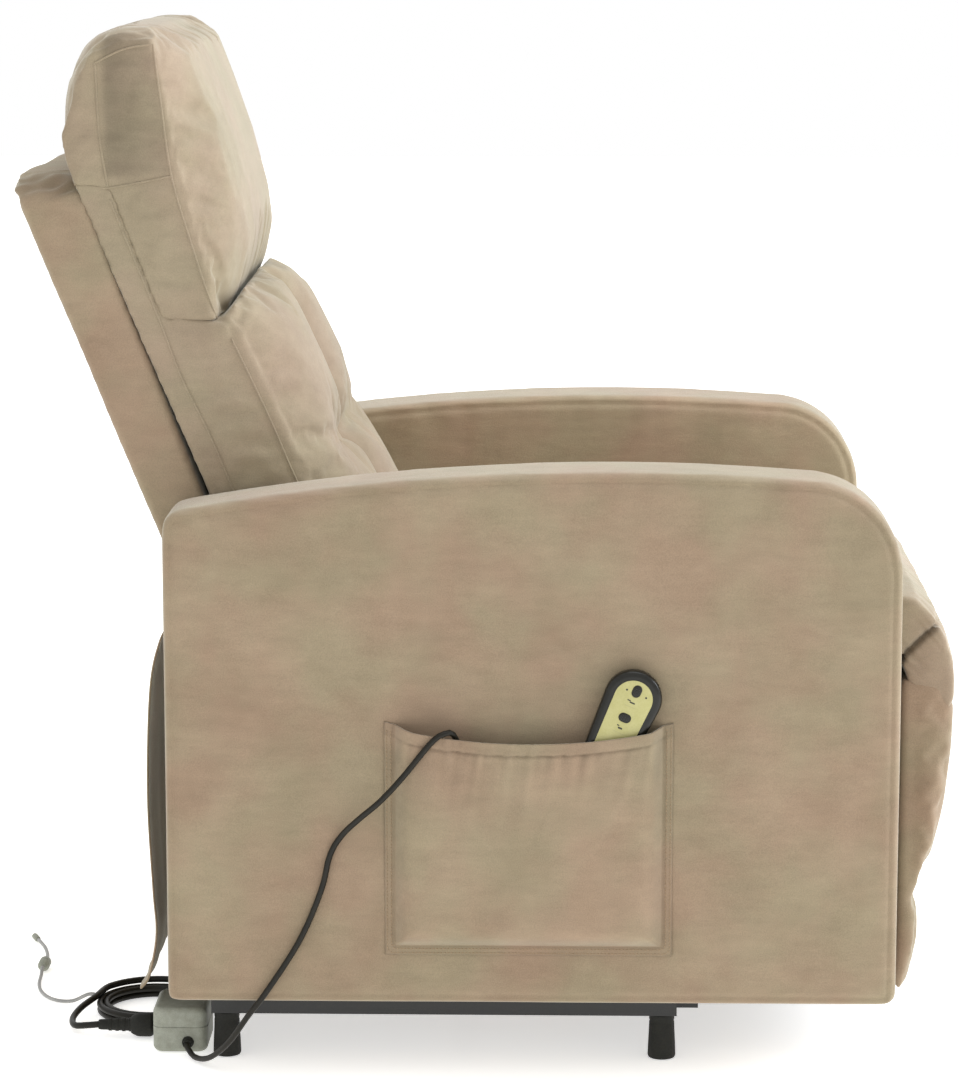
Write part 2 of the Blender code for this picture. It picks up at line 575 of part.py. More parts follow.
flap_half = SEAT_WIDTH / 2 - 0.010
flap_line = [(0.334, 0.450), (0.345, 0.430), (0.355, 0.380), (0.359, 0.267), (0.355, 0.170),
             (0.352, 0.120), (0.360, 0.075), (0.370, 0.060)]
flap_back = [(y + FLAP_THICK, z) for y, z in reversed(flap_line)]
flap = plate(shift(flap_line + flap_back, LIFT_TOP), [], 2 * flap_half)
place(add_mesh("rear_flap", flap, VELVET), seat_box, (0.0, *LIFT_TOP))


# ---- back ----------------------------------------------------------------------------------
back_half = SEAT_WIDTH / 2 - SIDE_GAP
frame_half = SIDE_PLATE_X - PLATE / 2 - 0.002
panel_top = BACK_START + BACK_HEIGHT - BACK_RIM
panel_bottom = -LINK_RADIUS
panel = block(2 * frame_half, BACK_PANEL, panel_top - panel_bottom)
panel_z = (panel_top + panel_bottom) / 2
back_panel = place(add_mesh("back_panel", panel, WOOD), back_slope, (0.0, 0.0, panel_z), local=True)
panel_bore = cutter("panel_bore", bar(SEAT_WIDTH, PIN_RADIUS + FIT), back_slope, (0.0, 0.0, 0.0),
                    local=True)
boolean(back_panel, panel_bore)

shell_front, shell_rear = -0.021, 0.026
back_top = BACK_START + BACK_HEIGHT
shell_outline = [(shell_front, BACK_START), (shell_rear, BACK_START), (shell_rear, back_top),
                 (shell_front, back_top - BACK_TOP_FALL)]
shell = add_mesh("outer_back", pillow(shell_outline, back_half, 0.008), VELVET)
place(shell, back_slope, (0.0, 0.0, 0.0), local=True)
tray_depth = BACK_PANEL / 2 + 0.0005 - shell_front
tray = block(2 * frame_half + 0.001, 2 * tray_depth, 2 * BACK_HEIGHT)
tray_top = panel_top + 0.0005
boolean(shell, cutter("tray_hollow", tray, back_slope, (0.0, shell_front, tray_top - BACK_HEIGHT),
                      local=True))

lumbar_outline = [(0.262, 0.500), (0.298, 0.598), (0.361, 0.745), (0.421, 0.891), (0.388, 0.893),
                  (0.338, 0.766), (0.281, 0.760), (0.254, 0.802), (0.220, 0.782), (0.197, 0.738),
                  (0.174, 0.690), (0.140, 0.618), (0.112, 0.556), (0.088, 0.512), (0.100, 0.500)]
headrest_outline = [(0.3350, 0.7675), (0.3848, 0.8965), (0.424, 0.9035), (0.4345, 0.950), (0.418, 1.008),
                    (0.398, 1.044), (0.370, 1.067), (0.340, 1.070), (0.309, 1.054), (0.280, 1.014),
                    (0.256, 0.950), (0.242, 0.885), (0.245, 0.835), (0.257, 0.806), (0.283, 0.764)]
for name, outline, look in (("lumbar_cushion", lumbar_outline, VELVET),
                            ("headrest_cushion", headrest_outline, VELVET_LIGHT)):
    soft = pillow(shift(outline, RECLINE_PIVOT), back_half - 0.002, CUSHION_SOFTNESS)
    place(add_mesh(name, soft, look), recline_axis, (0.0, *RECLINE_PIVOT))


# ---- legrest -------------------------------------------------------------------------------
board_front_y = LEGREST_PIVOT[0] - 0.008
board_rear_y = board_front_y + BOARD_THICK
board_top_z = LEGREST_PIVOT[1] - 0.0205
board = block(2 * (cushion_half - 0.010), BOARD_THICK, board_top_z - BOARD_BOTTOM_Z)
place(add_mesh("legrest_board", board, WOOD), legrest_axis,
      (0.0, (board_front_y + board_rear_y) / 2, (board_top_z + BOARD_BOTTOM_Z) / 2))
pad_back_y = board_front_y - GAP
pad_outline = [(pad_back_y, 0.396), (-0.436, 0.398), (-0.459, 0.389), (-0.473, 0.365), (-0.474, 0.325),
               (-0.468, 0.265), (-0.455, 0.210), (-0.440, 0.175), (-0.432, 0.163), (-0.440, 0.146),
               (-0.440, 0.122), (-0.432, 0.090), (-0.422, 0.067), (pad_back_y, 0.064)]
place(add_mesh("legrest_pad", pillow(shift(pad_outline, LEGREST_PIVOT), cushion_half, 0.008), VELVET),
      legrest_axis, (0.0, *LEGREST_PIVOT))

legrest_drive = (LEGREST_PIVOT[0] + LEGREST_LUG[0], LEGREST_PIVOT[1] + LEGREST_LUG[1])
bracket_outline = ([(board_rear_y + GAP, LEGREST_PIVOT[1] - 0.110), (board_rear_y + GAP, board_top_z)]
                   + list(reversed(arc(LEGREST_PIVOT, 0.013, 0.0, 200.0, 8)))
                   + list(reversed(arc(legrest_drive, 0.013, -90.0, 20.0, 6))))
crank_outline = link_outline(FOLD_PIVOT, drive_place, 0.016, 0.013)
for side_name, side in SIDES:
    holes = [circle(LEGREST_PIVOT, SMALL_PIN_RADIUS + FIT, 12),
             circle(legrest_drive, SMALL_PIN_RADIUS + FIT, 12)]
    bracket = plate(shift(bracket_outline, LEGREST_PIVOT), [shift(h, LEGREST_PIVOT) for h in holes], PLATE)
    place(add_mesh("legrest_bracket_" + side_name, bracket, STEEL), legrest_axis,
          (side * BRACKET_X, *LEGREST_PIVOT))

    drive = make_link("legrest_drive_link_" + side_name, side * DRIVE_X, drive_place, legrest_drive,
                      (0.013, 0.013), [], PLATE, drive_axis)
    stub_middle = side * (DRIVE_X + BRACKET_X + PLATE / 2) / 2
    for stub_name, at in (("fold", drive_place), ("pad", legrest_drive)):
        stub = bar(BRACKET_X - DRIVE_X + PLATE / 2, SMALL_PIN_RADIUS)
        boolean(drive, cutter(stub_name + "_stub_" + side_name, stub, drive_axis, (stub_middle, *at)),
                "UNION")

fold_shaft = make_shaft("legrest_crank_shaft", short_half, FOLD_PIVOT, PIN_RADIUS, fold_axis)
for side_name, side in SIDES:
    hole = shift(circle(drive_place, SMALL_PIN_RADIUS + FIT, 12), FOLD_PIVOT)
    arm_plate = plate(shift(crank_outline, FOLD_PIVOT), [hole], PLATE)
    crank_arm = cutter("crank_arm_" + side_name, arm_plate, fold_axis, (side * BRACKET_X, *FOLD_PIVOT))
    boolean(fold_shaft, crank_arm, "UNION")


# ---- handset -------------------------------------------------------------------------------
# its own frame: x across its thickness (face towards -x), y across its width, z along it
handset_x = pocket_x
handset = empty("handset_line", seat_box, (handset_x, HANDSET_MIDDLE[0] - LIFT_TOP[0],
                                           HANDSET_MIDDLE[1] - LIFT_TOP[1]), HANDSET_TILT)


def handset_outline(head_margin, tail_margin):
    return (arc((0.0, HEAD_CENTRE), HEAD_RADIUS - head_margin, 0.0, 180.0, 10)
            + arc((0.0, TAIL_CENTRE), TAIL_RADIUS - tail_margin, 180.0, 360.0, 8))


def oval(centre_z, size_y, size_z, grow=0.0):
    radius = min(size_y, size_z) / 2
    run = (max(size_y, size_z) / 2 - radius)
    if size_z > size_y:
        return (arc((0.0, centre_z + run), radius + grow, 0.0, 180.0, 6)
                + arc((0.0, centre_z - run), radius + grow, 180.0, 360.0, 6))
    return (arc((run, centre_z), radius + grow, -90.0, 90.0, 6)
            + arc((-run, centre_z), radius + grow, 90.0, 270.0, 6))


face_x = -HANDSET_THICK / 2
shell_body = pillow(handset_outline(0.0, 0.0), HANDSET_THICK / 2, 0.004)
handset_shell = place(add_mesh("handset_shell", shell_body, BLACK_PLASTIC), handset, (0, 0, 0), local=True)
recess = plate(handset_outline(FACE_MARGIN - GAP, TAIL_MARGIN - GAP), [], 2 * (FACE_DEPTH + GAP))
boolean(handset_shell, cutter("face_recess", recess, handset, (face_x, 0.0, 0.0), local=True))

buttons = (("button_up", BUTTON_UP, BUTTON_SHORT, BUTTON_LONG),
           ("button_down", BUTTON_DOWN, BUTTON_LONG, BUTTON_SHORT))
face_holes = [oval(z, size_y, size_z, BUTTON_FIT) for name, z, size_y, size_z in buttons]
face = plate(handset_outline(FACE_MARGIN, TAIL_MARGIN), face_holes, FACE_DEPTH)
place(add_mesh("handset_face", face, CREAM_PLASTIC), handset, (face_x + FACE_DEPTH / 2, 0.0, 0.0),
      local=True)
well_depth = FACE_DEPTH + BUTTON_TRAVEL + 2 * BUTTON_FIT
for name, z, size_y, size_z in buttons:
    well = plate(oval(z, size_y, size_z, BUTTON_FIT), [], 2 * well_depth)
    boolean(handset_shell, cutter(name + "_well", well, handset, (face_x, 0.0, 0.0), local=True))
    thick = BUTTON_PROUD + FACE_DEPTH + BUTTON_FIT
    place(add_mesh(name, plate(oval(0.0, size_y, size_z), [], thick), BLACK_PLASTIC),
          handset, (face_x - BUTTON_PROUD + thick / 2, 0.0, z), local=True)


# ---- power supply and cables ---------------------------------------------------------------
def smooth_route(points, spacing):
    """Evenly spaced points along a smooth curve through the given ones."""
    ends = [Vector(p) for p in points]
    ends = [2 * ends[0] - ends[1]] + ends + [2 * ends[-1] - ends[-2]]
    fine = []
    for a, b, c, d in zip(ends, ends[1:], ends[2:], ends[3:]):
        for i in range(24):
            t = i / 24
            fine.append(0.5 * (2 * b + (c - a) * t + (2 * a - 5 * b + 4 * c - d) * t * t
                               + (3 * b - a - 3 * c + d) * t ** 3))
    fine.append(ends[-2])
    lengths = [0.0]
    for here, after in zip(fine, fine[1:]):
        lengths.append(lengths[-1] + (after - here).length)
    count = max(3, round(lengths[-1] / spacing))
    route, at = [], 0
    for i in range(count + 1):
        goal = lengths[-1] * i / count
        while at < len(lengths) - 2 and lengths[at + 1] < goal:
            at += 1
        span = lengths[at + 1] - lengths[at]
        share = (goal - lengths[at]) / span if span else 0.0
        route.append(fine[at].lerp(fine[at + 1], share))
    return route


def cord(name, points, radius, look, spacing):
    curve = bpy.data.curves.new(name, "CURVE")
    curve.dimensions = "3D"
    curve.bevel_depth = radius
    curve.bevel_resolution = 2
    curve.use_fill_caps = True
    curve.materials.append(look)
    route = smooth_route(points, spacing)
    spline = curve.splines.new("POLY")
    spline.points.add(len(route) - 1)
    for point, at in zip(spline.points, route):
        point.co = (*at, 1.0)
    made = bpy.data.objects.new(name, curve)
    bpy.context.collection.objects.link(made)
    return place(made, chair, (0.0, 0.0, 0.0))


supply_x, supply_y = SUPPLY_AT
supply_outline = rectangle(-SUPPLY_SIZE[1] / 2, 0.0, SUPPLY_SIZE[1] / 2, SUPPLY_SIZE[2])
supply = pillow(supply_outline, SUPPLY_SIZE[0] / 2, 0.007)
place(add_mesh("power_supply", supply, GREY_PLASTIC), base, (supply_x, supply_y, 0.0))
supply_left_x = supply_x - SUPPLY_SIZE[0] / 2
supply_right_x = supply_x + SUPPLY_SIZE[0] / 2

handset_tail = (TAIL_CENTRE - TAIL_RADIUS - GAP)
tail_y = HANDSET_MIDDLE[0] - handset_tail * math.sin(HANDSET_TILT)
tail_z = HANDSET_MIDDLE[1] + handset_tail * math.cos(HANDSET_TILT)
handset_route = [
    (pocket_x, tail_y, tail_z), (pocket_x, tail_y + 0.012, tail_z - 0.024),
    (pocket_x, -0.050, 0.243), (pocket_x, -0.018, 0.240), (pocket_x, 0.010, 0.265),
    (pocket_x, 0.026, 0.310), (pocket_x - 0.001, 0.034, 0.347), (-0.3710, 0.041, 0.3655),
    (-0.3775, 0.051, 0.3660), (-0.3797, 0.063, 0.357), (-0.3797, 0.092, 0.321),
    (-0.3785, 0.114, 0.297), (-0.3690, 0.134, 0.278), (-0.3560, 0.153, 0.257),
    (-0.3541, 0.165, 0.236), (-0.3541, 0.174, 0.200), (-0.3541, 0.196, 0.148),
    (-0.3541, 0.230, 0.094), (-0.3510, 0.249, 0.068), (-0.3370, 0.270, 0.036),
    (-0.3140, 0.292, 0.012), (-0.2900, 0.310, 0.0045), (supply_left_x - 0.012, 0.320, 0.0115),
    (supply_left_x - 2 * GAP, 0.320, 0.012)]
cord("handset_cord", handset_route, CORD_RADIUS, RUBBER, 0.0135)

coil_x, coil_y = COIL_AT
coil_ring_radius = (COIL_OUTER + COIL_INNER) / 2
coil_half = (COIL_OUTER - COIL_INNER) / 2
coil_profile = [(coil_ring_radius + coil_half * y, COIL_HEIGHT / 2 * (1.0 + z))
                for y, z in circle((0.0, 0.0), 1.0, 10)]
coil = turned(coil_profile + coil_profile[:1], 24)
bmesh.ops.remove_doubles(coil, verts=coil.verts[:], dist=1e-5)
place(add_mesh("mains_lead_coil", coil, RUBBER), base, (coil_x, coil_y, 0.0))


def at_coil(degrees, distance, z):
    angle = math.radians(degrees)
    return (coil_x + distance * math.cos(angle), coil_y + distance * math.sin(angle), z)


coil_mid_z = COIL_HEIGHT / 2
near_coil = COIL_OUTER + 0.0008
mains_start = [(supply_right_x + 2 * GAP, 0.312, 0.016), (supply_right_x + 0.007, 0.312, 0.016),
               at_coil(238.0, near_coil + 0.012, coil_mid_z), at_coil(238.0, near_coil, coil_mid_z)]
cord("mains_lead", mains_start, MAINS_RADIUS, RUBBER, 0.0085)

plug_x, plug_front_y = PLUG_AT
plug_profile = [(0.0, 0.0), (0.010, 0.0), (0.0125, 0.003), (0.0125, 0.016), (0.0095, 0.023),
                (0.0062, 0.026), (0.0055, PLUG_LENGTH), (0.0, PLUG_LENGTH)]
plug = turned(plug_profile, 14)
plug_z = 0.0130
place(add_mesh("mains_plug", plug, RUBBER), base, (plug_x, plug_front_y, plug_z), (-quarter, 0.0, 0.0))
plug_rear_y = plug_front_y + PLUG_LENGTH
mains_end = [(plug_x, plug_rear_y + 2 * GAP, plug_z), (plug_x, plug_rear_y + 0.010, plug_z - 0.0005),
             (plug_x + 0.014, plug_rear_y + 0.024, 0.009), at_coil(119.0, near_coil + 0.022, 0.011),
             at_coil(115.0, near_coil + 0.010, coil_mid_z), at_coil(115.0, near_coil, coil_mid_z)]
cord("mains_lead_end", mains_end, MAINS_RADIUS, RUBBER, 0.0085)

# the thin low-voltage lead leaves the hank and ends in a small in-line coupling and a tail
coupling_x, coupling_y = COUPLING_AT
coupling_profile = [(0.0, 0.0), (0.0045, 0.0), (0.0065, 0.004), (0.0065, COUPLING_LENGTH - 0.004),
                    (0.0045, COUPLING_LENGTH), (0.0, COUPLING_LENGTH)]
coupling = turned(coupling_profile, 10)
coupling_z = 0.0068
place(add_mesh("lead_coupling", coupling, GREY_PLASTIC), base,
      (coupling_x, coupling_y, coupling_z), (0.0, quarter, 0.0))
floor_z = AUX_RADIUS + 0.0002
aux_route = [at_coil(75.0, near_coil, coil_mid_z), at_coil(75.0, near_coil + 0.008, coil_mid_z - 0.001),
             (-0.0870, 0.463, floor_z + 0.001), (-0.0830, 0.480, floor_z), (-0.0680, 0.494, floor_z),
             (-0.0450, 0.504, floor_z), (-0.0180, 0.5095, floor_z), (coupling_x - 0.018, 0.5115, floor_z),
             (coupling_x - 0.007, coupling_y, coupling_z), (coupling_x - 2 * GAP, coupling_y, coupling_z)]
cord("lead_thin", aux_route, AUX_RADIUS, GREY_CABLE, 0.006)
tail_x = coupling_x + COUPLING_LENGTH
tail_route = [(tail_x + 2 * GAP, coupling_y, coupling_z), (tail_x + 0.007, coupling_y, coupling_z),
              (tail_x + 0.018, coupling_y + 0.0015, floor_z), (0.100, 0.5165, floor_z),
              (0.124, 0.5224, 0.0030), (0.1428, 0.5302, 0.0042), (*CONNECTOR_AT, 0.0042)]
cord("lead_thin_tail", tail_route, AUX_RADIUS, GREY_CABLE, 0.006)
connector_profile = [(0.0, 0.0), (0.0028, 0.0), (0.0036, 0.004), (0.0036, CONNECTOR_LENGTH),
                     (0.0, CONNECTOR_LENGTH)]
heading = math.atan2(CONNECTOR_AT[1] - 0.5302, CONNECTOR_AT[0] - 0.1428)
connector = add_mesh("lead_connector", turned(connector_profile, 10), GREY_PLASTIC)
start_x = CONNECTOR_AT[0] + 2 * GAP * math.cos(heading)
start_y = CONNECTOR_AT[1] + 2 * GAP * math.sin(heading)
place(connector, base, (start_x, start_y, 0.0042), (0.0, quarter, heading))
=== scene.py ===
import json
import math

import bmesh
import bpy
import numpy as np
from mathutils import Matrix, Vector, noise
from mathutils.bvhtree import BVHTree


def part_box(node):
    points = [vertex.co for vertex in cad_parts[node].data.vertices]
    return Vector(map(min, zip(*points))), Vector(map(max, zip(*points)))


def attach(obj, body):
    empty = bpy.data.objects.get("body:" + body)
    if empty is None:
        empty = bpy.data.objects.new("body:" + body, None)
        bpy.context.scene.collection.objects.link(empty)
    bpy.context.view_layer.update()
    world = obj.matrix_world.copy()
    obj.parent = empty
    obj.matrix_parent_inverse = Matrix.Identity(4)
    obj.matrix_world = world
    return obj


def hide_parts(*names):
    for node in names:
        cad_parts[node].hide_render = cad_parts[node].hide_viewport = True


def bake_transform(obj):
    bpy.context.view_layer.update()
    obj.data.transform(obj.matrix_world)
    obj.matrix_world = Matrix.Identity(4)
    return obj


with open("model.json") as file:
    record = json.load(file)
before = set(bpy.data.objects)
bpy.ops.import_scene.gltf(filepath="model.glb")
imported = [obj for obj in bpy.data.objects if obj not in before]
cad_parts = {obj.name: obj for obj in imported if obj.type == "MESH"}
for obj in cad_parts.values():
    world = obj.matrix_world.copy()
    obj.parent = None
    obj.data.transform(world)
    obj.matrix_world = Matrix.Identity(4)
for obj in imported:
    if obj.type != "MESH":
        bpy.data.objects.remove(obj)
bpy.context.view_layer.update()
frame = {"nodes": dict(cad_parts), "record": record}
nodes = frame["nodes"]
scene = bpy.context.scene
armLow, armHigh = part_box("arm_left")
middleX = (armLow.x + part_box("arm_right")[1].x) / 2
print("frame:", len(nodes), "nodes")


# Small helpers: colours, nodes, meshes

def linear(hexText):
    values = [int(hexText[i:i + 2], 16) / 255 for i in (1, 3, 5)]
    return [v / 12.92 if v <= 0.04045 else ((v + 0.055) / 1.055) ** 2.4 for v in values] + [1.0]


def addNode(tree, kind, settings=None, links=None):
    # capitalised or numbered settings are inputs, the others are the node's own properties
    made = tree.nodes.new("ShaderNode" + kind)
    for key, value in (settings or {}).items():
        if isinstance(key, int) or key[0].isupper():
            made.inputs[key].default_value = value
        else:
            setattr(made, key, value)
    for key, source in (links or {}).items():
        tree.links.new(source, made.inputs[key])
    return made


def newMaterial(name, surface):
    made = bpy.data.materials.new(name)
    made.use_nodes = True
    shader = made.node_tree.nodes["Principled BSDF"]
    for key, value in surface.items():
        shader.inputs[key].default_value = value
    return made, made.node_tree, shader


def newPiece(name, bm, look, smooth=True):
    mesh = bpy.data.meshes.new(name)
    bm.to_mesh(mesh)
    bm.free()
    mesh.materials.append(look)
    if smooth:
        mesh.shade_smooth()
    piece = bpy.data.objects.new(name, mesh)
    scene.collection.objects.link(piece)
    return piece


def applied(piece):
    # replaces the mesh by what its modifiers make of it
    graph = bpy.context.evaluated_depsgraph_get()
    done = bpy.data.meshes.new_from_object(piece.evaluated_get(graph))
    piece.modifiers.clear()
    piece.data = done
    piece.data.name = piece.name
    return piece


def addModifier(piece, kind, **settings):
    made = piece.modifiers.new(kind.lower(), kind)
    for key, value in settings.items():
        setattr(made, key, value)
    return made


def remeshed(piece, voxel):
    addModifier(piece, "REMESH", mode="VOXEL", voxel_size=voxel, use_smooth_shade=True)
    return applied(piece)


def subdivided(piece):
    addModifier(piece, "SUBSURF", levels=1, render_levels=1)
    return applied(piece)


def coordinates(piece):
    mesh = piece.data
    points = np.empty(len(mesh.vertices) * 3)
    normals = np.empty(len(mesh.vertices) * 3)
    mesh.vertices.foreach_get("co", points)
    mesh.vertices.foreach_get("normal", normals)
    return points.reshape(-1, 3), normals.reshape(-1, 3)


def setCoordinates(piece, points):
    piece.data.vertices.foreach_set("co", points.ravel())
    piece.data.update()


def swell(piece, amount):
    # moves every vertex along its normal by amount(points, normals), in metres
    points, normals = coordinates(piece)
    setCoordinates(piece, points + normals * amount(points, normals)[:, None])


def paintLightAndShade(piece, amount):
    # painted light and shade on a velvet cover: -1 is painted shade, 1 is painted light; amount(points,
    # normals)
    points, normals = coordinates(piece)
    held = piece.data.attributes.get("paintedLightShade") or piece.data.attributes.new("paintedLightShade", "FLOAT", "POINT")
    held.data.foreach_set("value", np.clip(amount(points, normals), -1.0, 1.0).astype(np.float32))


def rough(points, size, seed=0.0):
    # smooth random values from -1 to 1 whose lumps are about size metres wide
    scaled = points / size + seed
    return np.array([noise.noise(Vector(p)) for p in scaled])


def alongPath(points, path):
    # distance of each (y, z) point to a path of (y, z) corners, and how far along the path it is
    best = np.full(len(points), 9.0)
    along = np.zeros(len(points))
    start = 0.0
    for a, b in zip(path, path[1:]):
        a, b = np.array(a), np.array(b)
        length = np.linalg.norm(b - a)
        share = np.clip((points - a) @ (b - a) / length ** 2, 0.0, 1.0)
        distance = np.linalg.norm(points - (a + share[:, None] * (b - a)), axis=1)
        nearer = distance < best
        best[nearer] = distance[nearer]
        along[nearer] = (start + share * length)[nearer]
        start += length
    return best, along


def bell(distance, width):
    return np.exp(-(distance / width) ** 2)


def arc(centre, radius, start, end, steps):
    turns = [math.radians(start + (end - start) * i / steps) for i in range(steps + 1)]
    return [(centre[0] + radius * math.cos(t), centre[1] + radius * math.sin(t)) for t in turns]


def smoothRoute(points, spacing):
    # evenly spaced points along a smooth curve through the given ones
    ends = [Vector(p) for p in points]
    ends = [2 * ends[0] - ends[1]] + ends + [2 * ends[-1] - ends[-2]]
    fine = []
    for a, b, c, d in zip(ends, ends[1:], ends[2:], ends[3:]):
        for i in range(24):
            t = i / 24
            fine.append(0.5 * (2 * b + (c - a) * t + (2 * a - 5 * b + 4 * c - d) * t * t
                               + (3 * b - a - 3 * c + d) * t ** 3))
    fine.append(ends[-2])
    lengths = [0.0]
    for here, after in zip(fine, fine[1:]):
        lengths.append(lengths[-1] + (after - here).length)
    count = max(3, round(lengths[-1] / spacing))
    route, at = [], 0
    for i in range(count + 1):
        goal = lengths[-1] * i / count
        while at < len(lengths) - 2 and lengths[at + 1] < goal:
            at += 1
        span = lengths[at + 1] - lengths[at]
        route.append(fine[at].lerp(fine[at + 1], (goal - lengths[at]) / span if span else 0.0))
    return route


def routeLength(route):
    return sum((b - a).length for a, b in zip(route, route[1:]))


def tube(name, route, radius, look, sides=4, closed=False):
    curve = bpy.data.curves.new(name, "CURVE")
    curve.dimensions = "3D"
    curve.bevel_depth = radius
    curve.bevel_resolution = sides
    curve.use_fill_caps = not closed
    spline = curve.splines.new("POLY")
    spline.points.add(len(route) - 1)
    for point, at in zip(spline.points, route):
        point.co = (*at, 1.0)
    spline.use_cyclic_u = closed
    spline.use_smooth = True
    curve.materials.append(look)
    piece = bpy.data.objects.new(name, curve)
    scene.collection.objects.link(piece)
    return piece


# Camera, light and floor

cameraView = {"place": (-3.98175, -0.0695, 1.173), "look": (0.98578, 0.02278, -0.16652),
              "lens": 124.4, "sensor": 36.0}
studio = {
    "world": 1.0, "floorLift": 0.55,      # the floor glows a little, so the shade under the chair stays pale
    "floorSize": 14.0, "floorDrop": 0.0006,
    "lampColour": "#f3f7ff", "aim": (0.0, 0.0, 0.5),
    "front": {"at": (0.3, -4.3, 2.3), "size": 2.4, "watts": 150.0},
    "over": {"at": (0.3, -0.8, 4.2), "size": 3.0, "watts": 62.0},
}


def makeCamera():
    data = bpy.data.cameras.new("camera")
    data.lens = cameraView["lens"]
    data.sensor_width = cameraView["sensor"]
    data.clip_start = 0.05
    camera = bpy.data.objects.new("camera", data)
    camera.location = cameraView["place"]
    camera.rotation_euler = Vector(cameraView["look"]).to_track_quat("-Z", "Y").to_euler()
    scene.collection.objects.link(camera)
    scene.camera = camera


def makeStudio():
    world = bpy.data.worlds.new("studio")
    world.use_nodes = True
    back = world.node_tree.nodes["Background"]
    back.inputs["Color"].default_value = linear("#ffffff")
    back.inputs["Strength"].default_value = studio["world"]
    scene.world = world
    scene.view_settings.view_transform = "Standard"
    for name in ("front", "over"):
        light = studio[name]
        data = bpy.data.lights.new(name, "AREA")
        data.shape = "DISK"
        data.size = light["size"]
        data.energy = light["watts"]
        data.color = linear(studio["lampColour"])[:3]
        lamp = bpy.data.objects.new(name, data)
        lamp.location = light["at"]
        lamp.rotation_euler = (Vector(studio["aim"]) - lamp.location).to_track_quat("-Z", "Y").to_euler()
        scene.collection.objects.link(lamp)
    paint, tree, shader = newMaterial("studioFloorPaint", {
        "Roughness": 0.9, "Emission Color": linear("#ffffff"), "Emission Strength": studio["floorLift"]})
    shader.inputs["Base Color"].default_value = linear("#fbfbf8")
    bm = bmesh.new()
    bmesh.ops.create_grid(bm, x_segments=1, y_segments=1, size=studio["floorSize"])
    bmesh.ops.translate(bm, vec=(0.0, 0.0, -studio["floorDrop"]), verts=bm.verts[:])
    newPiece("floor", bm, paint, False)


makeCamera()
makeStudio()
print("camera and studio done")


# Materials

# Polyester velvet, woven and sheared: a short dense pile that scatters light, brightens where it is seen
# edge on, and shows soft clouds where the pile has been brushed one way or another
velvetLooks = {
    "body": {"dark": "#877761", "light": "#988871", "green": "#8f856c", "pink": "#957b68"},
    "head": {"dark": "#897a66", "light": "#998a75", "green": "#928970", "pink": "#978371"},
}
velvetPile = {"cloud": 0.085, "stroke": 0.020, "nap": 0.0011}     # metres across; the nap is drawn coarse


def makeVelvet(name, look):
    made, tree, shader = newMaterial(name, {
        "Roughness": 0.94, "Specular IOR Level": 0.25, "Sheen Weight": 0.45, "Sheen Roughness": 0.38,
        "Sheen Tint": linear("#eef0e6")})
    place = addNode(tree, "TexCoord").outputs["Object"]
    cloud = addNode(tree, "TexNoise", {"Scale": 1 / velvetPile["cloud"], "Detail": 4.0,
                                       "Roughness": 0.6, "Distortion": 0.4}, {"Vector": place})
    cloudMap = addNode(tree, "MapRange", {"From Min": 0.34, "From Max": 0.66}, {"Value": cloud.outputs[0]})
    tone = addNode(tree, "Mix", {"data_type": "RGBA", 6: linear(look["dark"]), 7: linear(look["light"])},
                   {0: cloudMap.outputs[0]})
    moved = addNode(tree, "Mapping", {"Location": (3.1, 1.7, 0.4)}, {"Vector": place})
    hue = addNode(tree, "TexNoise", {"Scale": 0.8 / velvetPile["cloud"], "Detail": 3.0},
                  {"Vector": moved.outputs[0]})
    hueMap = addNode(tree, "MapRange", {"From Min": 0.38, "From Max": 0.62}, {"Value": hue.outputs[0]})
    cast = addNode(tree, "Mix", {"data_type": "RGBA", 6: linear(look["green"]), 7: linear(look["pink"])},
                   {0: hueMap.outputs[0]})
    toned = addNode(tree, "Mix", {"data_type": "RGBA", 0: 0.45}, {6: tone.outputs[2], 7: cast.outputs[2]})
    strokes = addNode(tree, "Mapping", {"Scale": (1.0, 0.45, 1.6)}, {"Vector": place})
    brushed = addNode(tree, "TexNoise", {"Scale": 1 / velvetPile["stroke"], "Detail": 5.0,
                                         "Roughness": 0.62}, {"Vector": strokes.outputs[0]})
    brushedMap = addNode(tree, "MapRange", {"From Min": 0.3, "From Max": 0.7, "To Min": 0.93,
                                            "To Max": 1.06}, {"Value": brushed.outputs[0]})
    nap = addNode(tree, "TexNoise", {"Scale": 1 / velvetPile["nap"], "Detail": 2.0}, {"Vector": place})
    napMap = addNode(tree, "MapRange", {"From Min": 0.3, "From Max": 0.7, "To Min": 0.9, "To Max": 1.08},
                     {"Value": nap.outputs[0]})
    # painted light and shade from each cover's vertices scales the velvet's colour from 0.62 to 1.38
    paintedLightNode = addNode(tree, "Attribute", {"attribute_name": "paintedLightShade"})
    paintedLightMap = addNode(tree, "MapRange", {"From Min": -1.0, "From Max": 1.0, "To Min": 0.62, "To Max": 1.38},
                     {"Value": paintedLightNode.outputs["Fac"]})
    grain = addNode(tree, "Math", {"operation": "MULTIPLY"}, {0: brushedMap.outputs[0], 1: napMap.outputs[0]})
    shade = addNode(tree, "Math", {"operation": "MULTIPLY"}, {0: grain.outputs[0], 1: paintedLightMap.outputs[0]})
    coloured = addNode(tree, "VectorMath", {"operation": "SCALE"},
                       {0: toned.outputs[2], "Scale": shade.outputs[0]})
    tree.links.new(coloured.outputs[0], shader.inputs["Base Color"])
    heights = addNode(tree, "Math", {"operation": "MULTIPLY_ADD", 1: 3.0},
                      {0: brushed.outputs[0], 2: nap.outputs[0]})
    bump = addNode(tree, "Bump", {"Strength": 0.5, "Distance": 0.0004}, {"Height": heights.outputs[0]})
    tree.links.new(bump.outputs[0], shader.inputs["Normal"])
    return made


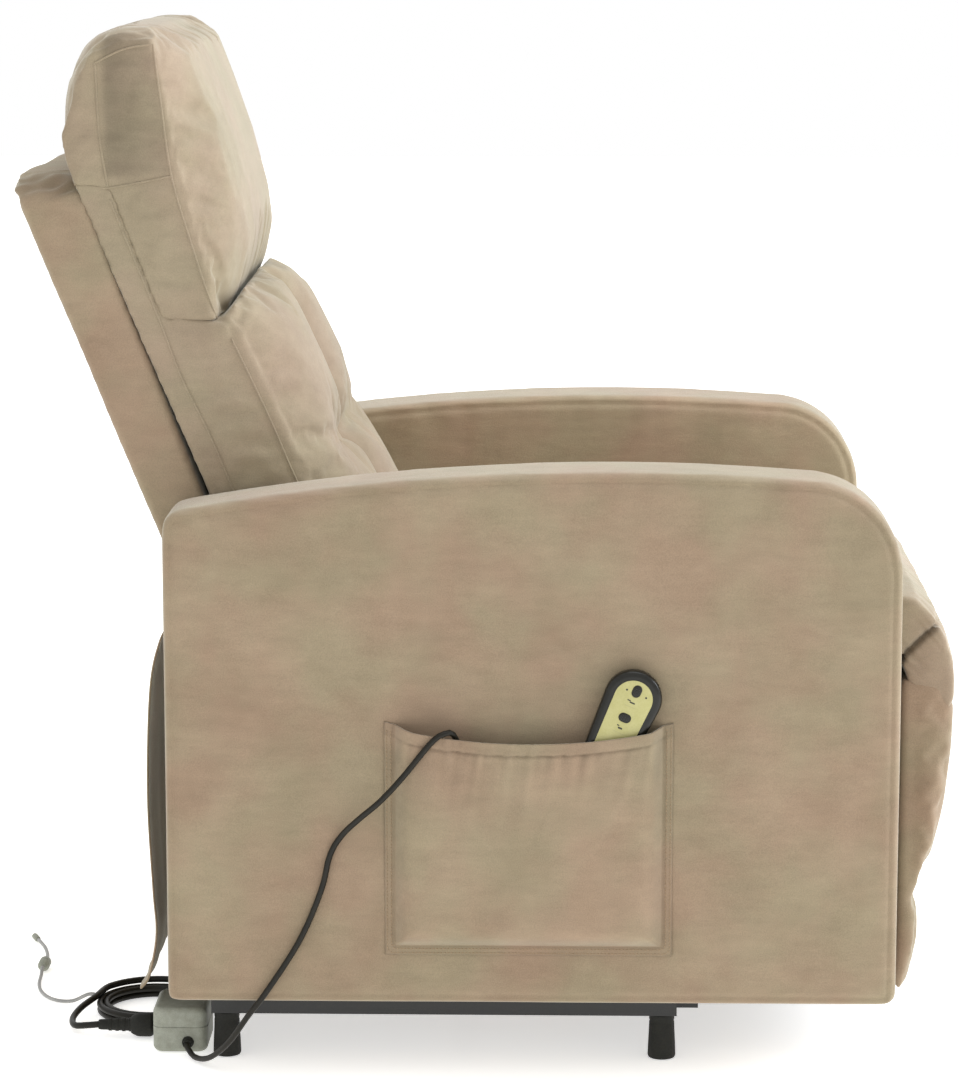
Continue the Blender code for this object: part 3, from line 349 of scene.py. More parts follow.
def makeSpeckled(name, colours, surface, grain, bumpHeight, stretch=(1.0, 1.0, 1.0)):
    # two close colours in soft patches, and a grain that also gives the bump and a little roughness
    made, tree, shader = newMaterial(name, {k: v for k, v in surface.items() if k != "Roughness"})
    place = addNode(tree, "TexCoord").outputs["Object"]
    turned = addNode(tree, "Mapping", {"Scale": stretch}, {"Vector": place})
    patches = addNode(tree, "TexNoise", {"Scale": 0.12 / grain, "Detail": 4.0}, {"Vector": turned.outputs[0]})
    fine = addNode(tree, "TexNoise", {"Scale": 1 / grain, "Detail": 3.0}, {"Vector": turned.outputs[0]})
    both = addNode(tree, "Mix", {0: 0.5}, {2: patches.outputs[0], 3: fine.outputs[0]})
    spread = addNode(tree, "MapRange", {"From Min": 0.35, "From Max": 0.65}, {"Value": both.outputs[0]})
    tone = addNode(tree, "Mix", {"data_type": "RGBA", 6: linear(colours[0]), 7: linear(colours[1])},
                   {0: spread.outputs[0]})
    tree.links.new(tone.outputs[2], shader.inputs["Base Color"])
    gloss = addNode(tree, "MapRange", {"To Min": surface["Roughness"] - 0.06,
                                       "To Max": surface["Roughness"] + 0.08}, {"Value": patches.outputs[0]})
    tree.links.new(gloss.outputs[0], shader.inputs["Roughness"])
    bump = addNode(tree, "Bump", {"Strength": 0.4, "Distance": bumpHeight}, {"Height": fine.outputs[0]})
    tree.links.new(bump.outputs[0], shader.inputs["Normal"])
    return made


velvet = makeVelvet("beigeVelvetSheared", velvetLooks["body"])
# a slightly lighter, less yellow copy of the velvet, for the cushions that face the front lamp: painted light
velvetHead = makeVelvet("beigeVelvetPaintedLighter", velvetLooks["head"])
# Spun polyester thread, a shade deeper than the cover
thread = makeSpeckled("polyesterThread", ("#8a7257", "#a08a6c"), {"Roughness": 0.7}, 0.0006, 0.0001)
# Epoxy powder coat on steel tube: satin black with a fine orange peel
powderCoat = makeSpeckled("powderCoatSatinBlack", ("#141413", "#1d1d1b"),
                          {"Roughness": 0.42, "Specular IOR Level": 0.5}, 0.0016, 0.00008)
# Bright zinc plating on turned pins: grey with a faint blue cast and fine turning lines
zincPlate = makeSpeckled("zincPlatedSteel", ("#8f9496", "#b4b8b8"), {"Metallic": 1.0, "Roughness": 0.34},
                         0.0009, 0.00004, (0.2, 1.0, 1.0))
# Raw birch plywood: pale, with long grain along the sheet
birchPly = makeSpeckled("birchPlywoodRaw", ("#b08d5f", "#c8aa7c"), {"Roughness": 0.62}, 0.0030, 0.0002,
                        (0.12, 1.0, 1.0))
# Spun-bonded polypropylene dust cloth: flat brown-black with a fine pimpled surface
dustCloth = makeSpeckled("polypropyleneSpunbond", ("#2c2823", "#3a352e"), {"Roughness": 0.85}, 0.0012, 0.0001)
# Moulded rubber feet: charcoal, dull, a little dusty
moulded = makeSpeckled("rubberMouldedCharcoal", ("#161612", "#24241f"),
                       {"Roughness": 0.68, "Specular IOR Level": 0.3}, 0.0018, 0.00015)
# Soft PVC cable jacket, extruded: black with a soft wide highlight
jacket = makeSpeckled("pvcJacketBlack", ("#13110b", "#1f1c13"),
                      {"Roughness": 0.40, "Specular IOR Level": 0.25}, 0.0012, 0.00005)
# Soft PVC jacket of the thin lead, grey
greyJacket = makeSpeckled("pvcJacketGrey", ("#8e8e8c", "#a6a6a3"), {"Roughness": 0.46}, 0.0012, 0.00005)
# ABS handset shell, polished mould: near black, glossy, a faint olive cast in its highlights
glossAbs = makeSpeckled("absPolishedBlack", ("#12110c", "#1b1a14"),
                        {"Roughness": 0.30, "Specular IOR Level": 0.28, "Coat Weight": 0.12,
                         "Coat Roughness": 0.10}, 0.0020, 0.00002)
# ABS actuator housing, spark eroded mould: matt black
matteAbs = makeSpeckled("absTexturedBlack", ("#161616", "#222222"), {"Roughness": 0.56}, 0.0008, 0.00012)
# Polycarbonate overlay of the handset, printed cream: satin
overlay = makeSpeckled("polycarbonateOverlayCream", ("#a9a46c", "#b3ae7a"),
                       {"Roughness": 0.36, "Specular IOR Level": 0.3}, 0.0016, 0.00002)
# ABS power supply case, spark eroded mould: light warm grey, matt
greyAbs = makeSpeckled("absTexturedGrey", ("#7f8174", "#979a8d"), {"Roughness": 0.55}, 0.0008, 0.0001)
# Silk-screen ink on the overlay, dark and faded
darkInk = makeSpeckled("screenInkDark", ("#26261a", "#2f2f22"), {"Roughness": 0.5}, 0.0010, 0.00001)
# The same ink worn pale, on the thin rules
paleInk = makeSpeckled("screenInkFaded", ("#9c9868", "#a8a474"), {"Roughness": 0.5}, 0.0010, 0.00001)
# Hook-and-loop band, woven nylon: black and fuzzy
strap = makeSpeckled("nylonHookLoopBlack", ("#141416", "#26262a"), {"Roughness": 0.8, "Sheen Weight": 0.3},
                     0.0010, 0.0003)

slotLooks = {"beige_velvet": velvet, "black_steel": powderCoat, "zinc_steel": zincPlate, "plywood": birchPly,
             "black_rubber": moulded, "black_cable": jacket, "grey_cable": greyJacket,
             "black_gloss": glossAbs, "black_matte": matteAbs, "cream_face": overlay,
             "grey_plastic": greyAbs}
# The boards that come into sight when the chair moves are wrapped, not raw
coveredBoards = {"back_panel": velvet, "legrest_board": dustCloth}
for part in frame["record"]["subparts"]:
    shown = nodes[part["node"]].data
    shown.materials.clear()
    shown.materials.append(coveredBoards.get(part["node"], slotLooks[part["material_slot"]]))
print("materials done")


# Padded shapes: a body lofted across the chair from (y, z) outlines

def loftedBody(name, sections, look):
    bm = bmesh.new()
    loops = []
    for x, outline in sections:
        verts = [bm.verts.new((x, y, z)) for y, z in outline]
        loops.append([bm.edges.new(pair) for pair in zip(verts, verts[1:] + verts[:1])])
    for near, far in zip(loops, loops[1:]):
        bmesh.ops.bridge_loops(bm, edges=near + far)
    for end in (loops[0], loops[-1]):
        bmesh.ops.contextual_create(bm, geom=end)
    bmesh.ops.recalc_face_normals(bm, faces=bm.faces[:])
    return newPiece(name, bm, look)


crownSteps = (0.2, 0.45, 0.64, 0.78, 0.88, 0.95, 0.985, 1.0)      # shares of the half width


def crownedSections(middle, side, halfWidth, fullness):
    # the outline changes from side to middle as a soft crown; a higher fullness keeps the middle flatter
    sections = []
    for s in [-step for step in reversed(crownSteps)] + [0.0] + list(crownSteps):
        full = (1.0 - abs(s) ** fullness) ** 0.5
        outline = [(a[0] + (b[0] - a[0]) * full, a[1] + (b[1] - a[1]) * full)
                   for a, b in zip(side, middle)]
        sections.append((middleX + s * halfWidth, outline))
    return sections


def cushionBlank(name, facts, halfWidth, look):
    sections = crownedSections(facts["middle"], facts["side"], halfWidth, facts["fullness"])
    return remeshed(loftedBody(name, sections, look), facts["voxel"])


def insetOutline(points, amount):
    # moves every side of a closed outline inwards by amount
    area = sum(a[0] * b[1] - b[0] * a[1] for a, b in zip(points, points[1:] + points[:1]))
    side = math.copysign(amount, area)
    moved = []
    for i, here in enumerate(points):
        before = Vector(here) - Vector(points[i - 1])
        after = Vector(points[(i + 1) % len(points)]) - Vector(here)
        normals = [Vector((-edge.y, edge.x)).normalized() for edge in (before, after)]
        middle = (normals[0] + normals[1]).normalized()
        moved.append(tuple(Vector(here) + middle * side / max(0.5, middle.dot(normals[0]))))
    return moved


def inflate(pieces, cloth):
    # blows the covers up from inside, held along their seams, then keeps the result as plain meshes
    starts = {}
    for piece in pieces:
        starts[piece.name] = coordinates(piece)[0]
        soft = addModifier(piece, "CLOTH")
        soft.settings.quality = cloth["quality"]
        soft.settings.mass = cloth["mass"]
        soft.settings.tension_stiffness = cloth["tension"]
        soft.settings.compression_stiffness = cloth["tension"]
        soft.settings.shear_stiffness = cloth["tension"] / 3
        soft.settings.bending_stiffness = cloth["bending"]
        soft.settings.use_pressure = True
        soft.settings.uniform_pressure_force = cloth["pressure"]
        soft.settings.shrink_min = cloth["shrink"]
        soft.settings.vertex_group_mass = "seams"
        soft.settings.effector_weights.gravity = 0.0
        soft.point_cache.frame_start = 1
        soft.point_cache.frame_end = cloth["frames"]
    for number in range(1, cloth["frames"] + 1):
        scene.frame_set(number)
    for piece in pieces:
        applied(piece)
        start = starts[piece.name]
        moved = coordinates(piece)[0] - start
        length = np.linalg.norm(moved, axis=1, keepdims=True)
        moved *= np.minimum(1.0, cloth["cap"][piece.name] / np.maximum(length, 1e-9))
        setCoordinates(piece, start + moved)
    scene.frame_set(1)


def holdSeams(piece, held):
    # held runs from 0, free to swell, to 1, sewn down
    group = piece.vertex_groups.new(name="seams")
    for share in (0.3, 0.6, 1.0):
        chosen = np.nonzero(held >= share)[0].tolist()
        group.add(chosen, share, "REPLACE")


halfCushion = (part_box("seat_cushion")[1].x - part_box("seat_cushion")[0].x) / 2
halfBack = (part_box("lumbar_cushion")[1].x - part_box("lumbar_cushion")[0].x) / 2

headrest = {
    "voxel": 0.005, "fullness": 3.2,
    "middle": [(0.3385, 0.7655), (0.3880, 0.8945), (0.4240, 0.9015), (0.4345, 0.9500), (0.4215, 1.0180),
               (0.4020, 1.0520), (0.3760, 1.0720), (0.3490, 1.0690), (0.3260, 1.0420), (0.3060, 0.9940),
               (0.2840, 0.9340), (0.2680, 0.8760), (0.2630, 0.8320), (0.2640, 0.8020), (0.2800, 0.7630)],
    "side": [(0.3405, 0.7640), (0.3905, 0.8935), (0.4300, 0.9000), (0.4375, 0.9500), (0.4205, 1.0040),
             (0.4070, 1.0270), (0.3770, 1.0400), (0.3440, 1.0400), (0.3400, 1.0100), (0.3350, 0.9700),
             (0.3290, 0.9300), (0.3190, 0.8800), (0.3060, 0.8380), (0.2960, 0.8060), (0.2850, 0.7625)],
    "frontSeam": [(0.344, 1.040), (0.337, 0.985), (0.327, 0.910), (0.308, 0.842), (0.284, 0.766)],
    "rearSeam": [(0.402, 1.022), (0.399, 0.950), (0.391, 0.898)],
    "topSeam": [(0.402, 1.022), (0.372, 1.036), (0.344, 1.040)],
    "crossSeam": [(0.428, 0.896), (0.385, 0.898), (0.327, 0.909)],
    "gussetMiddle": (0.372, 0.968), "gussetTall": 1.9, "gussetReach": 0.026, "gussetDepth": 0.008,
    "gussetLow": 0.905, "gussetRearY": 0.399, "lapTop": 0.90,
}
lumbarRear = [(0.2620, 0.5000), (0.2980, 0.5980), (0.3610, 0.7450), (0.4255, 0.9000), (0.3895, 0.9000),
              (0.3380, 0.7680), (0.2810, 0.7620)]
lumbar = {
    "voxel": 0.0058, "fullness": 3.0,
    "middle": lumbarRear + [(0.2580, 0.7960), (0.2300, 0.7800), (0.2090, 0.7400), (0.1870, 0.6910),
                            (0.1540, 0.6190), (0.1260, 0.5560), (0.1020, 0.5120), (0.1100, 0.5000)],
    "side": lumbarRear + [(0.2760, 0.7590), (0.2700, 0.7480), (0.2520, 0.7100), (0.2310, 0.6660),
                          (0.2030, 0.6000), (0.1780, 0.5500), (0.1600, 0.5120), (0.1660, 0.5000)],
    "frontSeam": [(0.268, 0.745), (0.231, 0.666), (0.203, 0.600), (0.160, 0.512)],
    "rearSeam": [(0.389, 0.885), (0.340, 0.762), (0.320, 0.708), (0.291, 0.647), (0.266, 0.586),
                 (0.236, 0.512)],
    "tuftHeight": 0.628, "tuftReach": 0.150, "tuftFade": 0.06, "tuftWidth": 0.016, "tuftDepth": 0.015,
    "valleyTop": 0.790, "valleyFade": 0.05, "valleyWidth": 0.030, "valleyDepth": 0.024, "valleySewnTo": 0.775,
}
seamHold = {"reach": 0.006, "depth": 0.030}      # how far from a side seam the cover is held


def heldAtSeams(points, facts, labels):
    held = np.zeros(len(points))
    for label in labels:
        near = alongPath(points[:, 1:], facts[label])[0]
        held = np.maximum(held, (near < seamHold["reach"]) * sideMask(points, halfBack, seamHold["depth"]))
    return held


def sideMask(points, halfWidth, depth):
    # 1 on the two side faces, fading to 0 within depth of them
    return np.clip((np.abs(points[:, 0] - middleX) - (halfWidth - depth)) / (depth * 0.5), 0.0, 1.0)


def makeHeadrest():
    piece = cushionBlank("headrestCover", headrest, halfBack, velvetHead)

    def hollow(points, normals):
        # the gusset above the cross seam is drawn in between its seams
        offset = (points[:, 1:] - headrest["gussetMiddle"]) / (1.0, headrest["gussetTall"])
        inside = bell(np.linalg.norm(offset, axis=1), headrest["gussetReach"])
        return -headrest["gussetDepth"] * inside * sideMask(points, halfBack, 0.012)
    swell(piece, hollow)
    points, normals = coordinates(piece)
    held = heldAtSeams(points, headrest, ("frontSeam", "rearSeam", "topSeam", "crossSeam"))
    held = np.maximum(held, (normals[:, 1] > 0.5) * (points[:, 2] < headrest["lapTop"]))
    held = np.maximum(held, (normals[:, 2] < -0.6) * 1.0)
    holdSeams(piece, held)
    return piece


def makeLumbar():
    piece = cushionBlank("lumbarCover", lumbar, halfBack, velvetHead)

    def channels(points, normals):
        front = np.clip(-normals[:, 1] * 2.0, 0.0, 1.0)
        across = np.abs(points[:, 0] - middleX)
        below = np.clip((lumbar["valleyTop"] - points[:, 2]) / lumbar["valleyFade"], 0.0, 1.0)
        valley = bell(across, lumbar["valleyWidth"]) * below
        within = np.clip((lumbar["tuftReach"] - across) / lumbar["tuftFade"], 0.0, 1.0)
        tuft = bell(points[:, 2] - lumbar["tuftHeight"], lumbar["tuftWidth"]) * within
        return -front * (lumbar["valleyDepth"] * valley + lumbar["tuftDepth"] * tuft * (1.0 - valley * 0.6))
    swell(piece, channels)
    points, normals = coordinates(piece)
    across = np.abs(points[:, 0] - middleX)
    front = normals[:, 1] < -0.25
    held = front * (across < 0.006) * (points[:, 2] < lumbar["valleySewnTo"]) * 1.0
    tuft = front * (np.abs(points[:, 2] - lumbar["tuftHeight"]) < 0.004) * (across < lumbar["tuftReach"])
    held = np.maximum(held, tuft * 1.0)
    held = np.maximum(held, heldAtSeams(points, lumbar, ("frontSeam", "rearSeam")))
    held = np.maximum(held, (normals[:, 1] > 0.4) * 1.0)
    held = np.maximum(held, (normals[:, 2] < -0.6) * 1.0)
    holdSeams(piece, held)
    return piece


seat = {
    "voxel": 0.0066, "fullness": 5.0,
    "middle": [(0.165, 0.364), (0.165, 0.462), (0.060, 0.478), (-0.150, 0.487), (-0.330, 0.487),
               (-0.384, 0.483), (-0.408, 0.475), (-0.415, 0.464), (-0.405, 0.454), (-0.350, 0.450),
               (-0.337, 0.364)],
    "side": [(0.165, 0.364), (0.165, 0.448), (0.060, 0.460), (-0.150, 0.468), (-0.330, 0.468),
             (-0.378, 0.466), (-0.398, 0.462), (-0.404, 0.458), (-0.400, 0.454), (-0.350, 0.450),
             (-0.337, 0.364)],
    "boardTop": 0.452, "sideSeamTop": 0.462,
}
legrest = {
    "voxel": 0.0055, "fullness": 4.0,
    "middle": [(-0.4133, 0.3960), (-0.4400, 0.3975), (-0.4610, 0.3930), (-0.4710, 0.3720), (-0.4705, 0.3250),
               (-0.4640, 0.2650), (-0.4520, 0.2120), (-0.4380, 0.1780), (-0.4320, 0.1640),
               (-0.4370, 0.1480), (-0.4370, 0.1220), (-0.4300, 0.0910), (-0.4220, 0.0690),
               (-0.4133, 0.0650)],
    "side": [(-0.4133, 0.3960), (-0.4340, 0.3970), (-0.4540, 0.3930), (-0.4630, 0.3720), (-0.4610, 0.3250),
             (-0.4550, 0.2650), (-0.4450, 0.2120), (-0.4330, 0.1790), (-0.4270, 0.1640),
             (-0.4320, 0.1480), (-0.4320, 0.1220), (-0.4250, 0.0910), (-0.4200, 0.0700),
             (-0.4133, 0.0650)],
    "waistZ": 0.164, "sideSeamY": -0.430, "seamReach": 0.005,
}


def makeSeat():
    piece = cushionBlank("seatCover", seat, halfCushion, velvetHead)
    points, normals = coordinates(piece)
    held = (normals[:, 2] < -0.5) * 1.0
    held = np.maximum(held, (points[:, 2] < seat["boardTop"]) * 1.0)
    held = np.maximum(held, (normals[:, 1] > 0.5) * 1.0)
    held = np.maximum(held, (np.abs(normals[:, 0]) > 0.8) * (points[:, 2] < seat["sideSeamTop"]))
    holdSeams(piece, held)
    return piece


def makeLegrest():
    piece = cushionBlank("legrestCover", legrest, halfCushion, velvet)
    points, normals = coordinates(piece)
    held = (normals[:, 1] > 0.4) * 1.0
    waist = (np.abs(points[:, 2] - legrest["waistZ"]) < legrest["seamReach"]) * (normals[:, 1] < 0.0)
    held = np.maximum(held, waist * 1.0)
    besideSeam = np.abs(points[:, 1] - legrest["sideSeamY"]) < legrest["seamReach"]
    held = np.maximum(held, besideSeam * sideMask(points, halfCushion, 0.012))
    holdSeams(piece, held)
    return piece


padding = {"frames": 20, "pressure": 4.0, "quality": 4, "mass": 0.25, "tension": 12.0, "bending": 0.4,
           "shrink": -0.03,
           "cap": {"headrestCover": 0.012, "lumbarCover": 0.016, "seatCover": 0.014,
                   "legrestCover": 0.003}}
headrestCover = makeHeadrest()
lumbarCover = makeLumbar()
seatCover = makeSeat()
legrestCover = makeLegrest()
print("cushion blanks done")
inflate([headrestCover, lumbarCover, seatCover, legrestCover], padding)
print("cushions inflated")
for cover in (headrestCover, lumbarCover, seatCover, legrestCover):
    subdivided(cover)
    print(cover.name, len(cover.data.polygons), "faces")


def finished(piece, body, node=None):
    # every piece hides the CAD solid it stands for, if any, and rides on its body
    if node:
        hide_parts(node)
    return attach(piece, body)


def headLightAndShade(points, normals):
    # painted shade: the side gussets are darker towards the rear, where they are drawn in between their
    # seams; painted light on the faces turned to the front
    onSide = np.clip((np.abs(points[:, 0] - middleX) - halfBack + 0.030) / 0.010, 0.0, 1.0)
    y, z = points[:, 1], points[:, 2]
    seamY, seamZ = zip(*reversed(headrest["frontSeam"]))
    behind = np.clip((y - np.interp(z, seamZ, seamY)) / 0.004, 0.0, 1.0)
    ahead = np.clip((headrest["gussetRearY"] - y) / 0.008, 0.0, 1.0)
    gusset = behind * ahead * np.clip((z - headrest["gussetLow"]) / 0.006, 0.0, 1.0) * onSide
    shade = np.clip((y - 0.352) / 0.03, 0.0, 1.0) * 0.5 + 0.32
    return -gusset * shade * (np.abs(normals[:, 0]) > 0.4) + 0.25 * np.clip(-normals[:, 1], 0.0, 1.0)


paintLightAndShade(headrestCover, headLightAndShade)
# painted light: the lumbar's front faces are lighter
paintLightAndShade(lumbarCover, lambda points, normals: 0.25 * np.clip(-normals[:, 1], 0.0, 1.0))
# painted light: the seat's top faces are lighter
paintLightAndShade(seatCover, lambda points, normals: 0.2 * np.clip(normals[:, 2], 0.0, 1.0))
for cover, body, node, full in ((headrestCover, "back", "headrest_cushion", 0.65),
                                (lumbarCover, "back", "lumbar_cushion", 0.7),
                                (seatCover, "seat", "seat_cushion", 0.8),
                                (legrestCover, "legrest", "legrest_pad", 0.75)):
    finished(cover, body, node)


# Arms: a plywood box under foam, with side panels sewn to one long band

arm = {"front": -0.4075, "rear": 0.333, "bottom": 0.078, "crownZ": 0.625, "crownY": -0.120, "fall": 0.208,
       "frontRadius": 0.098, "rearRadius": 0.022, "footRadius": 0.012, "edge": 0.011, "voxel": 0.007,
       "grooveDepth": 0.0022, "grooveWidth": 0.0028, "puckerHeight": 0.0011, "puckerSize": 0.020,
       "puckerReach": 0.030, "slackHeight": 0.0016, "slackSize": 0.13, "domeHeight": 0.0015,
       "drawnIn": 0.0012}


def crownZ(y):
    return arm["crownZ"] - arm["fall"] * (y - arm["crownY"]) ** 2


def armOutline():
    frontY = arm["front"] + arm["frontRadius"]
    frontZ = crownZ(frontY) - arm["frontRadius"]
    rearY = arm["rear"] - arm["rearRadius"]
    rearZ = crownZ(rearY) - arm["rearRadius"]
    foot = arm["footRadius"]
    crown = [frontY + (rearY - frontY) * i / 14 for i in range(1, 14)]
    return (arc((arm["front"] + foot, arm["bottom"] + foot), foot, 180.0, 270.0, 4)
            + arc((arm["rear"] - foot * 0.6, arm["bottom"] + foot * 0.6), foot * 0.6, 270.0, 360.0, 3)
            + arc((rearY, rearZ), arm["rearRadius"], 0.0, 90.0, 4)
            + [(y, crownZ(y)) for y in reversed(crown)]
            + arc((frontY, frontZ), arm["frontRadius"], 90.0, 180.0, 12))


def makeArm(side, lowX, highX):
    outline = armOutline()
    radius = arm["edge"]
    steps = [(1.0 - math.cos(math.radians(a)), 1.0 - math.sin(math.radians(a))) for a in (0, 20, 40, 60, 90)]
    near = [(lowX + radius * x, insetOutline(outline, radius * d)) for x, d in steps]
    far = [(highX - radius * x, insetOutline(outline, radius * d)) for x, d in reversed(steps)]
    piece = loftedBody("armCover" + side, near + far, velvet)
    remeshed(piece, arm["voxel"])
    subdivided(piece)
    seam = insetOutline(outline, radius * 0.9)
    seam = seam + seam[:1]
    middle = (lowX + highX) / 2

    def cover(points, normals):
        # a groove at the seam, short puckers across it, and slack, slightly domed cloth between the seams
        flat = np.clip(np.abs(normals[:, 0]) * 3.0 - 1.6, 0.0, 1.0)
        away, along = alongPath(points[:, 1:], seam)
        panel = np.abs(points[:, 0] - middle) > (highX - lowX) * 0.35
        groove = -arm["grooveDepth"] * bell(away, arm["grooveWidth"]) * panel
        pull = np.stack([along, np.zeros_like(along), points[:, 0]], axis=1)
        puckers = arm["puckerHeight"] * rough(pull, arm["puckerSize"], 3.0)
        puckers *= np.exp(-away / arm["puckerReach"]) * flat
        slack = arm["slackHeight"] * rough(points, arm["slackSize"], 7.0) * np.clip(away / 0.05, 0.2, 1.0)
        dome = arm["domeHeight"] * np.clip(away / 0.10, 0.0, 1.0) * flat
        return groove + puckers + slack + dome - arm["drawnIn"]
    swell(piece, cover)
    # painted light: the far arm's inner face, which lies in the near arm's shade, and the tops of both arms
    # are lighter
    paintLightAndShade(piece, lambda points, normals: 0.75 * np.clip(-normals[:, 0], 0.0, 1.0) * (lowX > middleX)
            + 0.2 * np.clip(normals[:, 2], 0.0, 1.0))
    return finished(piece, "seat", "arm_" + side.lower())


for side in ("Left", "Right"):
    low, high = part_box("arm_" + side.lower())
    makeArm(side, low.x, high.x)
print("arms done")


# Seams: a raised sewn edge laid on a cover, and rows of stitches

def laidOn(piece, points, direction, lift):
    # drops each point onto the piece along direction, and stands it off by lift
    points = [Vector(p) for p in points]
    graph = bpy.context.evaluated_depsgraph_get()
    tree = BVHTree.FromObject(piece, graph)
    route = []
    for p in points:
        hit, normal, index, distance = tree.ray_cast(p - Vector(direction) * 0.08, Vector(direction), 0.16)
        if hit is None:
            hit, normal, index, distance = tree.find_nearest(p)
        route.append(hit + normal * lift)
    return route


def relaxed(route, passes):
    # evens out a route between its ends
    for i in range(passes):
        inner = [(a + 2 * b + c) / 4 for a, b, c in zip(route, route[1:], route[2:])]
        route = [route[0]] + inner + [route[-1]]
    return route


sewing = {"edgeRadius": 0.0011, "stitchPitch": 0.0036, "stitchLength": 0.0025, "threadRadius": 0.00045}


def sewnEdge(name, piece, path, x, direction, body):
    fine = smoothRoute([(x, y, z) for y, z in path], 0.004)
    route = relaxed(laidOn(piece, fine, direction, sewing["edgeRadius"] * 0.15), 3)
    made = tube(name, route, sewing["edgeRadius"], piece.data.materials[0], 3)
    return finished(made, body)


def stitchRow(name, route, body):
    # small flat loops of thread, one after another
    bm = bmesh.new()
    spaced = smoothRoute(route, sewing["stitchPitch"])
    radius = sewing["threadRadius"]
    for a, b in zip(spaced, spaced[1:]):
        heading = (b - a).normalized()
        turn = heading.to_track_quat("X", "Z").to_matrix().to_4x4()
        shape = Matrix.Diagonal((sewing["stitchLength"] / 2, radius, radius, 1.0))
        bmesh.ops.create_icosphere(bm, subdivisions=1, radius=1.0,
                                   matrix=Matrix.Translation((a + b) / 2) @ turn @ shape)
    return finished(newPiece(name, bm, thread), body)


for side, sign in (("Left", -1.0), ("Right", 1.0)):
    for prefix, cover, facts, labels in (
            ("headrest", headrestCover, headrest, ("frontSeam", "rearSeam", "topSeam", "crossSeam")),
            ("lumbar", lumbarCover, lumbar, ("frontSeam", "rearSeam"))):
        for label in labels:
            name = prefix + label[0].upper() + label[1:] + side
            sewnEdge(name, cover, facts[label], middleX + sign * halfBack, (-sign, 0.0, 0.0), "back")
print("seams done")


# Outer back: the shell behind the cushions, wrapped in one piece of velvet

shell = {"pivot": (0.262, 0.435), "slope": math.radians(22.0), "front": -0.0205, "rear": 0.0375,
         "low": 0.0835, "high": 0.5045, "fall": 0.022, "crown": 0.021, "round": 0.009, "voxel": 0.0065,
         "lip": 0.0075, "hollow": 0.0065, "foldZ": 0.895, "foldReach": 0.018, "foldHeight": 0.0042,
         "foldSize": 0.0095, "slackHeight": 0.0020, "slackSize": 0.12, "drawnIn": 0.0006}


def onSlope(y, z):
    # from the back's own lengths, square to and along its slope, to the chair's y and z
    c, s = math.cos(shell["slope"]), math.sin(shell["slope"])
    return (shell["pivot"][0] + y * c + z * s, shell["pivot"][1] - y * s + z * c)


def makeOuterBack():
    low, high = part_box("outer_back")
    radius = shell["round"]
    # how far in from the side, how much the outline is inset, and how much of the crown is reached
    steps = ((0.0, 1.0, 0.0), (0.12, 0.52, 0.02), (0.4, 0.2, 0.05), (1.0, 0.0, 0.12), (2.4, 0.0, 0.45),
             (4.5, 0.0, 0.75), (8.0, 0.0, 0.93), (14.0, 0.0, 1.0))

    def section(inset, rise):
        corners = [(shell["front"], shell["low"]), (shell["rear"], shell["low"]),
                   (shell["rear"], shell["high"] + shell["crown"] * rise),
                   (shell["front"] - shell["lip"], shell["high"] - shell["fall"] + shell["crown"] * rise),
                   (shell["front"] - shell["hollow"], (shell["low"] + shell["high"]) * 0.6)]
        return insetOutline([onSlope(y, z) for y, z in corners], radius * inset)
    near = [(low.x + radius * x, section(d, rise)) for x, d, rise in steps]
    far = [(high.x - radius * x, section(d, rise)) for x, d, rise in reversed(steps)]
    piece = loftedBody("outerBackCover", near + far, velvet)
    remeshed(piece, shell["voxel"])
    subdivided(piece)

    def cover(points, normals):
        # small folds where the cloth is tucked at the upper corners
        high = np.exp(-((points[:, 2] - shell["foldZ"]) / shell["foldReach"]) ** 2)
        corner = high * (np.abs(points[:, 0] - middleX) > 0.17)
        x, y, z = points.T
        turned = np.stack([x * 0.4, y * 0.35, z + y * 0.5], axis=1)
        fold = shell["foldHeight"] * rough(turned, shell["foldSize"], 5.0) * corner
        return fold + shell["slackHeight"] * rough(points, shell["slackSize"], 11.0) - shell["drawnIn"]
    swell(piece, cover)
    # painted shade: a dark band across the folds near the top corners
    paintLightAndShade(piece, lambda points, normals: -0.5 * np.exp(-((points[:, 2] - 0.897) / 0.012) ** 2)
            * (np.abs(points[:, 0] - middleX) > 0.2))
    return finished(piece, "back", "outer_back")


makeOuterBack()
print("outer back done")


# Apron: the cloth that bridges the seat's nose and the legrest

apron = {"middle": [(-0.350, 0.4880), (-0.400, 0.4900), (-0.430, 0.4840), (-0.450, 0.4660), (-0.462, 0.4420),
                    (-0.4700, 0.4180), (-0.4728, 0.3960), (-0.4730, 0.3760), (-0.4690, 0.3640),
                    (-0.4600, 0.3740), (-0.424, 0.3880), (-0.412, 0.4200), (-0.398, 0.4480),
                    (-0.366, 0.4600)],
         "side": [(-0.350, 0.4800), (-0.398, 0.4850), (-0.427, 0.4790), (-0.446, 0.4610), (-0.4585, 0.4380),
                  (-0.4655, 0.4150), (-0.4672, 0.3950), (-0.4662, 0.3760), (-0.4615, 0.3660),
                  (-0.4530, 0.3760), (-0.424, 0.3890), (-0.412, 0.4200), (-0.400, 0.4470),
                  (-0.366, 0.4580)],
         "seam": [(-0.455, 0.4570), (-0.438, 0.4430), (-0.420, 0.4250), (-0.408, 0.4120)],
         "voxel": 0.0038, "fullness": 8.0, "weltZ": 0.4540, "weltWidth": 0.0045, "weltDepth": 0.0035,
         "creaseReach": 0.022, "creaseHeight": 0.0016, "creaseSize": 0.012, "seamWidth": 0.0026,
         "seamDepth": 0.0065, "pleatSize": 0.0080, "pleatDepth": 0.0075, "pleatReach": 0.012,
         "slackHeight": 0.0012}


